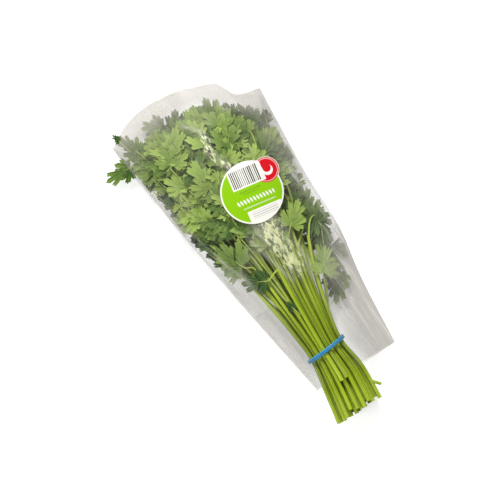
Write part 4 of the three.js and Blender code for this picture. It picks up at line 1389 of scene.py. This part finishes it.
# %% Rubber material
BLUE, STREAK_AND_LIGHT_BLUE = seen(0, 98, 146), seen(0, 122, 170)
rubber = Shade("blue rubber")
strand = rubber.map("plan")[1]
streak = rubber.noise(700.0, 2.0)
# Painted light: the upper strand is paler than the lower. The fine streaks are the rubber's own.
paler = (streak * 0.5 + strand * 0.5).rise(0.1, 0.9)
streaks_and_painted_light = rubber.mix(paler, BLUE, STREAK_AND_LIGHT_BLUE)
rubber_values = {"Base Color": streaks_and_painted_light, "Roughness": 0.42 + 0.15 * streak, "IOR": 1.5}
rubber_material = rubber.finish(rubber.add("BsdfPrincipled", {}, rubber_values))
print(rubber_material.name, "has", len(rubber_material.node_tree.nodes), "nodes")

# %% [markdown]
# The bundle is an oval, so each strand is an oval ring round it. A strand is wider along the
# stems than it is thick, so its section needs the direction that points straight out of the
# oval.

# %% Rubber band
BAND_TILT = math.tan(math.radians(3.4))
STRAND_HALF_WIDE, STRAND_HALF_THICK = 0.88, 0.62
PRESSED = 0.96  # the strands press together a little
STRAND_WANDER = 0.1
BAND_STEPS, BAND_SIDES = 96, 10
BAND_ROOM = 1.05  # from the outermost stems to the middle of a strand
PACK_X, PACK_Z = (half + STEM_DIAMETER / 2 + BAND_ROOM for half in (HALF_WIDTH, HALF_HEIGHT))


def strand_points(hand):
    """One strand of the band, ring by ring. hand is -1 for the lower strand, 1 for the upper."""
    loop = 2 * np.pi * np.arange(BAND_STEPS) / BAND_STEPS
    section = 2 * np.pi * np.arange(BAND_SIDES)[:, None] / BAND_SIDES
    x = PACK_X * np.cos(loop)
    y = BAND_TILT * x + hand * STRAND_HALF_WIDE * PRESSED + STRAND_WANDER * np.sin(3 * loop + hand)
    middle = BAND_MIDDLE + np.stack([x, y, PACK_Z * np.sin(loop)], -1)
    level = np.zeros(BAND_STEPS)
    outwards = unit(np.stack([np.cos(loop) / PACK_X, level, np.sin(loop) / PACK_Z], -1))
    ring = middle[:, None] + STRAND_HALF_THICK * np.cos(section) * outwards[:, None]
    return ring + STRAND_HALF_WIDE * np.sin(section) * np.array([0.0, 1.0, 0.0])


pile = Pile()
faces = grid_faces(BAND_STEPS, BAND_SIDES, wrap=True, loop=True)
for hand in (-1, 1):
    round_the_loop = [face[0] / (BAND_STEPS * BAND_SIDES) for face in faces for _ in face]
    strand_map = np.stack([round_the_loop, np.full(4 * len(faces), (hand + 1) / 2)], -1)
    pile.add(strand_points(hand).reshape(-1, 3), faces, strand_map)
band = pile.piece("band", [rubber_material])
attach(band, "root")
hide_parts("rubber_band")
print("band of", len(band.data.polygons), "faces")

# %% [markdown]
# ## The film
#
# Thin film is seen by what it adds: a grey veil, whiter where it is seen edge-on, whiter at the
# creases, partly as stressed film and partly as painted glare, and almost nothing where it lies wet
# against a leaf. So the mesh carries two numbers for each point, and the material turns them into
# how much film is seen: `veil`, from folds, rims and contact, and `crumple`, which is high along the
# creases.

# %% How much film is seen
VEIL_FREE, VEIL_ON_LEAVES = 0.86, 0.14
# Places where the film lies wet on the leaves or, below 0, stands off: x, y, reach, how much.
CONTACTS = (
    (-22.0, 184.0, 27.0, 1.25), (-8.0, 170.0, 12.0, 0.5), (32.0, 250.0, 16.0, 0.4),
    (46.0, 165.0, 14.0, 0.4), (-34.0, 262.0, 18.0, 0.3), (52.0, 108.0, 26.0, -0.8),
)
MOUTH_VEIL, RIGHT_VEIL, SPRAY_VEIL = 0.3, 0.5, 0.34
FOLD_VEIL, FOLD_HALF = 0.8, 1.3
WELD_VEIL, WELD_FADE = 0.5, 0.0375  # the fade is a share of the sleeve's width
RIM_VEIL, RIM_FADE = 0.3, 1.2


def veil_on_head(x, y, share):
    """The veil over the leaves and beside them."""
    beyond, _ = from_line(x, y, HEAD + HEAD[:1])
    inwards = np.where(in_head(x, y), beyond, -beyond)
    on_leaves = np.clip(0.6 + 0.5 * ramp(y, 215, 185) + inwards / 10, 0, 1)
    veil = VEIL_FREE + (VEIL_ON_LEAVES - VEIL_FREE) * on_leaves
    veil += MOUTH_VEIL * ramp(y, 262, 287)
    veil += RIGHT_VEIL * ramp(share, 0.8, 0.9) * ramp(y, 150, 190)
    veil += SPRAY_VEIL * ramp(share, 0.66, 0.76) * ramp(y, 150, 120)
    for place_x, place_y, reach, depth in CONTACTS:
        away = np.hypot(x - place_x, y - place_y) / reach
        veil -= 0.4 * depth * np.clip(1.25 - away, 0, 1)
    return veil


def veil_of(x, y, share, mouth_away, foot_away):
    """How much film is seen: next to nothing on the stems, most along folds, welds and rims."""
    veil = veil_on_head(x, y, share)
    off_stems = np.abs(x - BUNDLE_X(y)) / (HALF_WIDTH * SPREAD_X(y) + 3.0)
    over_stems = np.clip(1.8 * (1.28 - off_stems), 0, 1) * ramp(y, 190, 140)
    veil -= (veil - 0.02) * over_stems
    # Painted shade: more grey film to the left of the stems near the foot, where the bunch shades it.
    veil += 0.3 * np.exp(-((np.abs(off_stems - 1.5) / 0.45) ** 2)) * (x < 0) * (y < 110)
    for fold in FOLDS:
        away, reached = from_line(x, y, fold)
        ends = np.clip(np.minimum(reached, 1 - reached) * 5, 0, 1)
        veil += FOLD_VEIL * np.exp(-((away / FOLD_HALF) ** 2)) * ends
    near_weld = np.exp(-np.minimum(share, 1 - share) / WELD_FADE)
    rim = np.exp(-np.minimum(mouth_away, foot_away) / RIM_FADE) * (1 - over_stems)
    return np.clip(veil, 0.01, 1.2) + WELD_VEIL * near_weld + RIM_VEIL * rim


places_x, places_y = np.array([0, 80]), np.array([230, 100])
print("veil on the leaves and beside them:", veil_on_head(places_x, places_y, 0.5).round(2).tolist())

# %% [markdown]
# Both sheets are grids between the foot and the mouth, with more columns near the welds, where
# they bend most. The lower sheet needs fewer, and its faces are turned so that they look down.

# %% The sleeve's mesh
ROWS, TOP_COLUMNS, UNDER_COLUMNS = 200, 84, 40
TO_WELDS = 0.55  # how far the columns crowd towards the welds
MAP_UNIT = 100.0  # millimetres to one unit of a map


def film_sheet(pile, height, columns, upper):
    """Adds one sheet, with how much of its film is seen at each point."""
    even = np.linspace(0, 1, columns)
    shares = TO_WELDS * (0.5 - 0.5 * np.cos(np.pi * even)) + (1 - TO_WELDS) * even
    foot, mouth = FOOT_LEFT + (FOOT_RIGHT - FOOT_LEFT) * shares, MOUTH(shares)
    y = foot + (mouth - foot) * np.linspace(0, 1, ROWS)[:, None]
    x = left_edge(y) + shares * (right_edge(y) - left_edge(y))
    z = height(x, y)
    crumple = np.zeros(x.shape)
    faces = grid_faces(ROWS, columns)
    if upper:
        z = z + creased(x, y)
        crumple = np.maximum(*(crumpled(x, y, crease) for crease in CREASES))
    else:
        faces = [face[::-1] for face in faces]
    veil = veil_of(x, y, np.broadcast_to(shares, x.shape), mouth - y, y - foot)
    corners = np.array(faces).ravel()
    plan = np.stack([x, y], -1).reshape(-1, 2)[corners] / MAP_UNIT
    tone = np.stack([veil, crumple], -1).reshape(-1, 2)[corners]
    pile.add(np.stack([x, y, z], -1).reshape(-1, 3), faces, plan, tone)


film_pile = Pile()
film_sheet(film_pile, film_top, TOP_COLUMNS, upper=True)
film_sheet(film_pile, film_under, UNDER_COLUMNS, upper=False)
print("sleeve of", len(film_pile.faces), "faces")

# %% [markdown]
# The material is a clear, pale surface that is more or less there. Its amount is its alpha: the
# veil, made uneven by broad noise, with fine pale streaks along the sleeve that are painted sheen,
# and with pale dashes across the creases, partly stressed film and partly painted glare.

# %% The amount of film
CALM_FROM, CALM_TO = 2.35, 2.7  # along the bunch, in map units
LEAST_FILM, MOST_FILM = 0.015, 0.9
clear = Shade("clear film")
film_y = clear.map("plan")[1]
veil, crumple = clear.map("tone")


def stretched(turn, stretch, detail=3.0, roughness=0.5):
    """Noise that is turned by degrees and drawn out."""
    return clear.noise(1.0, detail, ((0, 0, math.radians(turn)), stretch), roughness)


along_streaks = stretched(5, (170.0, 9.0, 60.0))
broad = stretched(0, (28.0, 9.0, 20.0), 2.0)
dashes = stretched(-38, (420.0, 130.0, 200.0), 2.0)
flakes = stretched(-50, (700.0, 260.0, 300.0), 3.0, 0.6)
# Partly painted glare: pale dashes and crumple whiten and thicken the film along the creases.
dash = (dashes * 0.6 + flakes * 0.6 + crumple * 0.2).rise(0.69, 0.81) * crumple.rise(0.08, 0.5)
calm = film_y.rise(CALM_FROM, CALM_TO, 1.0, 0.25)
# Painted sheen: pale streaks along the sleeve.
streak = along_streaks.rise(0.5, 0.75) * calm
plain = veil * (0.27 + 0.25 * broad) + 0.12 * streak * veil.rise(0.02, 0.4)
amount = (plain + 0.2 * crumple + 0.6 * dash).most(LEAST_FILM).least(MOST_FILM)
print("the amount of film takes", len(clear.tree.nodes), "nodes")

# %% [markdown]
# Where film bends sharply it throws back a thin bright line. Here such lines are painted
# highlights: noise that is drawn out along the sleeve gives them wherever it passes one value.
# They and the painted sheen of the streaks whiten the tint, and a bump of slow waves breaks up the
# softboxes' reflections.

# %% Film material
FILM_GREY, CREASE_WHITE_AND_GLARE, PAINTED_SHEEN_WHITE = seen(160, 156, 148), seen(190, 194, 146), seen(226, 222, 218)
WAVE_DEPTH = 0.0025
thin = stretched(9, (150.0, 8.0, 60.0), 4.0, 0.55)
hair = stretched(-24, (260.0, 16.0, 80.0), 3.0, 0.6)
thin_lines = 1.0 - (abs(thin - 0.56) * 24.0).least(1.0)
hair_lines = 1.0 - (abs(hair - 0.6) * 52.0).least(1.0)
# Painted highlights: thin bright lines where the film bends.
glint = thin_lines.most(hair_lines * 0.7)
glint = glint * broad.rise(0.54, 0.7) * calm * veil.rise(0.95, 1.25, 1.0, 0.25)
tint = clear.mix(dash, FILM_GREY, CREASE_WHITE_AND_GLARE)
tint = clear.mix((streak * 0.35 + glint * 0.7).least(1.0), tint, PAINTED_SHEEN_WHITE)
waves = stretched(5, (110.0, 14.0, 60.0))
film_values = {
    "Base Color": tint, "Roughness": 0.2, "IOR": 1.5, "Specular IOR Level": 0.3,
    "Alpha": (amount + 0.1 * glint).least(MOST_FILM),
    "Normal": clear.bump(waves * calm * 0.7 + dashes * crumple * 0.8, WAVE_DEPTH, 0.6),
}
film_material = clear.finish(clear.add("BsdfPrincipled", {}, film_values))
sleeve = film_pile.piece("film_sleeve", [film_material])
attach(sleeve, "root")
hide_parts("sleeve")
print(film_material.name, "has", len(film_material.node_tree.nodes), "nodes")

# %% [markdown]
# ## The label
#
# The label is a die-cut sticker: a large disc with a small one peeping out from behind it. It
# lies on the film and follows its curve. Its print is drawn in the label's own millimetres, from
# the middle of the large disc, turned with the label. It has no words: the bars, the lines and
# the leaf shapes only fill the places where a shop's print would be.

# %% The label's mesh
LABEL_TURN = math.radians(-11.3)
LABEL_LIFT = 0.55
PAPER_HALF = 0.1
LABEL_SPOKES, LABEL_RINGS = 144, 12
label_u = np.array([math.cos(LABEL_TURN), math.sin(LABEL_TURN)])
label_v = np.array([-math.sin(LABEL_TURN), math.cos(LABEL_TURN)])
to_badge = BADGE_MIDDLE - LABEL_MIDDLE


def label_reach(angle):
    """How far the label's edge is from the large disc's middle, at an angle in plan."""
    away = np.hypot(*to_badge)
    offset = angle - math.atan2(to_badge[1], to_badge[0])
    inside = BADGE_RADIUS**2 - (away * np.sin(offset)) ** 2
    badge = np.where((inside > 0) & (np.cos(offset) > 0),
                     away * np.cos(offset) + np.sqrt(np.maximum(inside, 0)), 0)
    return np.maximum(LABEL_RADIUS, badge)


angle = 2 * np.pi * np.arange(LABEL_SPOKES) / LABEL_SPOKES
away = np.linspace(0, 1, LABEL_RINGS + 1)[1:, None] * label_reach(angle)
x = LABEL_MIDDLE[0] + np.append(0, away * np.cos(angle))
y = LABEL_MIDDLE[1] + np.append(0, away * np.sin(angle))
z = film_top(x, y) + LABEL_LIFT
print_map = (np.stack([x, y], -1) - LABEL_MIDDLE) @ np.stack([label_u, label_v], -1) / MAP_UNIT
faces = [(face[0], *face[:0:-1]) for face in fan_faces(LABEL_RINGS, LABEL_SPOKES, closed=True)]
rim = list(range(len(x) - 1, len(x) - 1 - LABEL_SPOKES, -1))
upper = np.stack([x, y, z + PAPER_HALF], -1)
lower = np.stack([x, y, z - PAPER_HALF], -1)
label_pile = Pile()
thin_sheet(label_pile, upper, lower, faces, rim, print_map, 0.5, 1.0)
print("label of", len(label_pile.faces), "faces")

# %% [markdown]
# The print is built from three shapes, each a number that is 1 inside it: discs, upright blocks
# and rows of leaf shapes. Each is laid over the print so far with its own ink, as a printer does.

# %% Printed shapes
paper = Shade("label paper")
plan_u, plan_v = paper.map("plan")
back_of = paper.map("tone")[1]
u, v = plan_u * MAP_UNIT, plan_v * MAP_UNIT
SOFT = 0.15  # half the width over which an ink's edge fades, in millimetres


def disc(middle_u, middle_v, radius):
    """1 inside a printed disc."""
    away = ((u - middle_u) ** 2.0 + (v - middle_v) ** 2.0).root()
    return 1.0 - away.rise(radius - SOFT, radius + SOFT)


def block(left, right, low, high):
    """1 inside a printed rectangle."""
    inside = (u - left).least(right - u).least((v - low).least(high - v))
    return inside.rise(-SOFT, SOFT)


def leaf_row(middle_v, half, step):
    """1 inside a row of small upright leaf shapes."""
    place = abs(((u + 0.25 * v) / step).fraction() - 0.5)
    width = 0.34 * (1.0 - ((v - middle_v) / half) ** 2.0)
    return ((width - place) * step).rise(0.0, 0.3)


print("shapes to print with:", disc.__name__, block.__name__, leaf_row.__name__)

# %% [markdown]
# First comes the large green disc with its white border. Rows of small leaf shapes fill the
# places where a shop would print a name and its small type.

# %% The large disc and its leaf rows
GREEN, WHITE, RED, INK = seen(116, 166, 0), seen(206, 204, 196), seen(178, 0, 20), seen(34, 38, 34)
BORDER = 1.3
# Each row's middle, half height and step, the block that it fills, and its ink.
LEAF_ROWS = (
    ((-5.6, 2.6, 2.9), (-16.5, 18.0, -8.4, -2.8), WHITE),
    ((-11.2, 0.9, 1.5), (-12.5, 17.0, -12.3, -10.2), WHITE),
    ((2.6, 0.7, 1.2), (-10.0, 9.0, 1.9, 3.3), INK),
    ((0.6, 0.6, 1.1), (-8.0, 6.0, 0.0, 1.2), INK),
)
print_colour = paper.mix(disc(0.0, 0.0, LABEL_RADIUS - BORDER), WHITE, GREEN)
for row, filled, ink in LEAF_ROWS:
    print_colour = paper.mix(leaf_row(*row) * block(*filled), print_colour, ink)
print("leaf rows:", len(LEAF_ROWS))

# %% [markdown]
# The small red disc has a thin pale ring and a crescent, each of which is one disc less another.

# %% The badge
BADGE_BORDER, RING_OUTER, RING_INNER = 0.5, 9.9, 9.4
MOON, BITE = (4.6, 1.0, -0.3), (3.6, 1.0, 1.4)  # radii and middles of the crescent's two discs
badge_u, badge_v = float(to_badge @ label_u), float(to_badge @ label_v)


def on_badge(radius, aside=0.0, up=0.0):
    """1 inside a disc near the badge's middle."""
    return disc(badge_u + aside, badge_v + up, radius)


badge_ring = on_badge(RING_OUTER) - on_badge(RING_INNER)
crescent = on_badge(*MOON) - on_badge(*BITE)
badge_colour = paper.mix(badge_ring * 0.7 + crescent.most(0.0), RED, WHITE)
print_colour = paper.mix(on_badge(BADGE_RADIUS - BADGE_BORDER), print_colour, badge_colour)
print("the badge is", round(math.hypot(badge_u, badge_v), 1), "mm from the label's middle")

# %% [markdown]
# A white panel lies over the top of the large disc and the side of the badge. It carries bars of
# uneven width that encode nothing. A panel at the foot has ruled grey lines. The back is plain.

# %% Bars and ruled lines
# Each block's left, right, low and high side. The panels run on past the edge of the disc.
TOP_PANEL, BAR_BLOCK = (-14.5, 15.5, 5.8, 40.0), (-13.0, 12.0, 7.0, 22.0)
FOOT_PANEL, LINE_BLOCK = (-10.4, 20.0, -40.0, -14.5), (-7.0, 16.0, -22.0, -16.0)
BAR_STEP, LINE_STEP = 1.7, 2.0
LINE_GREY, PAPER_BACK = seen(120, 120, 120), seen(236, 236, 230)
on_disc = disc(0.0, 0.0, LABEL_RADIUS)
print_colour = paper.mix(block(*TOP_PANEL) * on_disc, print_colour, WHITE)
bar_place = u / BAR_STEP
bar_noise = paper.add("TexWhiteNoise", {"noise_dimensions": "1D"}, {"W": bar_place.floor()}, "Value")
bars = (0.14 + 0.2 * bar_noise - abs(bar_place.fraction() - 0.5)).rise(-0.05, 0.05)
print_colour = paper.mix(bars * block(*BAR_BLOCK), print_colour, INK)
print_colour = paper.mix(block(*FOOT_PANEL) * on_disc, print_colour, WHITE)
lines = abs((v / LINE_STEP).fraction() - 0.5).rise(0.2, 0.3) * block(*LINE_BLOCK)
print_colour = paper.mix(lines * 0.5, print_colour, LINE_GREY)
print_colour = paper.mix(back_of.rise(0.5, 0.9), print_colour, PAPER_BACK)
print("the print takes", len(paper.tree.nodes), "nodes")

# %% [markdown]
# Printed paper hardly shines, and its fibres only just show.

# %% The label
FIBRE_DEPTH = 0.00004
paper_values = {
    "Base Color": print_colour, "Roughness": 0.45, "Specular IOR Level": 0.15,
    "Normal": paper.bump(paper.noise(1500.0, 2.0), FIBRE_DEPTH, 0.4),
}
paper_material = paper.finish(paper.add("BsdfPrincipled", {}, paper_values))
label = label_pile.piece("paper_label", [paper_material])
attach(label, "root")
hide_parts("label")
print(paper_material.name, "has", len(paper_material.node_tree.nodes), "nodes")

# %% [markdown]
# ## Light
#
# The light is a studio's: a bright world, so that the white floor is white right up to the
# bunch, and two softboxes whose reflections show where the film bends.

# %% Floor
FLOOR_HALF = 4.0
FLOOR_DROP = 0.0005  # keeps the floor clear of the film that lies on it
floor_mesh = bpy.data.meshes.new("floor")
corners = [(x * FLOOR_HALF, y * FLOOR_HALF, 0) for x, y in ((-1, -1), (1, -1), (1, 1), (-1, 1))]
floor_mesh.from_pydata(corners, [], [(0, 1, 2, 3)])
floor = bpy.data.objects.new("floor", floor_mesh)
bpy.context.scene.collection.objects.link(floor)
white = Shade("white floor")
floor_values = {
    "Base Color": seen(236, 236, 236), "Roughness": 0.9, "Specular IOR Level": 0.0,
    "Emission Color": seen(255, 255, 255), "Emission Strength": 0.34,
}
floor_mesh.materials.append(white.finish(white.add("BsdfPrincipled", {}, floor_values)))
floor.location.z = -FLOOR_DROP
print("floor of", 2 * FLOOR_HALF, "m")

# %% [markdown]
# A bright world lights the bunch evenly from the sides. It is darker overhead, or the film, which
# mirrors it, would turn white all over.

# %% World
WALL_LIGHT, CEILING_LIGHT = 0.95, 0.25
studio = Shade("studio", "worlds")
upwards = studio.add("SeparateXYZ", {}, {0: studio.add("TexCoord", {}, {}, "Generated")}, "Z")
walls, ceiling = (
    studio.add("Background", {}, {"Color": seen(255, 255, 255), "Strength": strength})
    for strength in (WALL_LIGHT, CEILING_LIGHT)
)
room = studio.add("MixShader", {}, {0: upwards.rise(0.62, 0.92), 1: walls, 2: ceiling})
bpy.context.scene.world = studio.finish(room, "OutputWorld")
print("walls are", round(WALL_LIGHT / CEILING_LIGHT, 1), "times as bright as the ceiling")

# %% [markdown]
# Two softboxes give the light a direction: the key stands beyond the leaf tips, and a weaker one
# fills in from the left. The view transform is set to plain, so that colours stay as named.


# %% Softboxes
def softbox(name, place, size, power):
    """A square softbox that faces the middle of the bunch."""
    data = bpy.data.lights.new(name, "AREA")
    data.size = size
    data.energy = power
    box = bpy.data.objects.new(name, data)
    box.location = place
    away = math.sqrt(sum(part * part for part in place))
    turn = math.atan2(place[1], place[0]) + math.pi / 2
    box.rotation_euler = (math.acos(place[2] / away), 0, turn)
    bpy.context.scene.collection.objects.link(box)


softbox("key", (0.35, 1.2, 1.15), 0.45, 34.0)
softbox("fill", (-1.2, 0.1, 0.9), 0.5, 9.0)
bpy.context.scene.view_settings.view_transform = "Standard"

# %% [markdown]
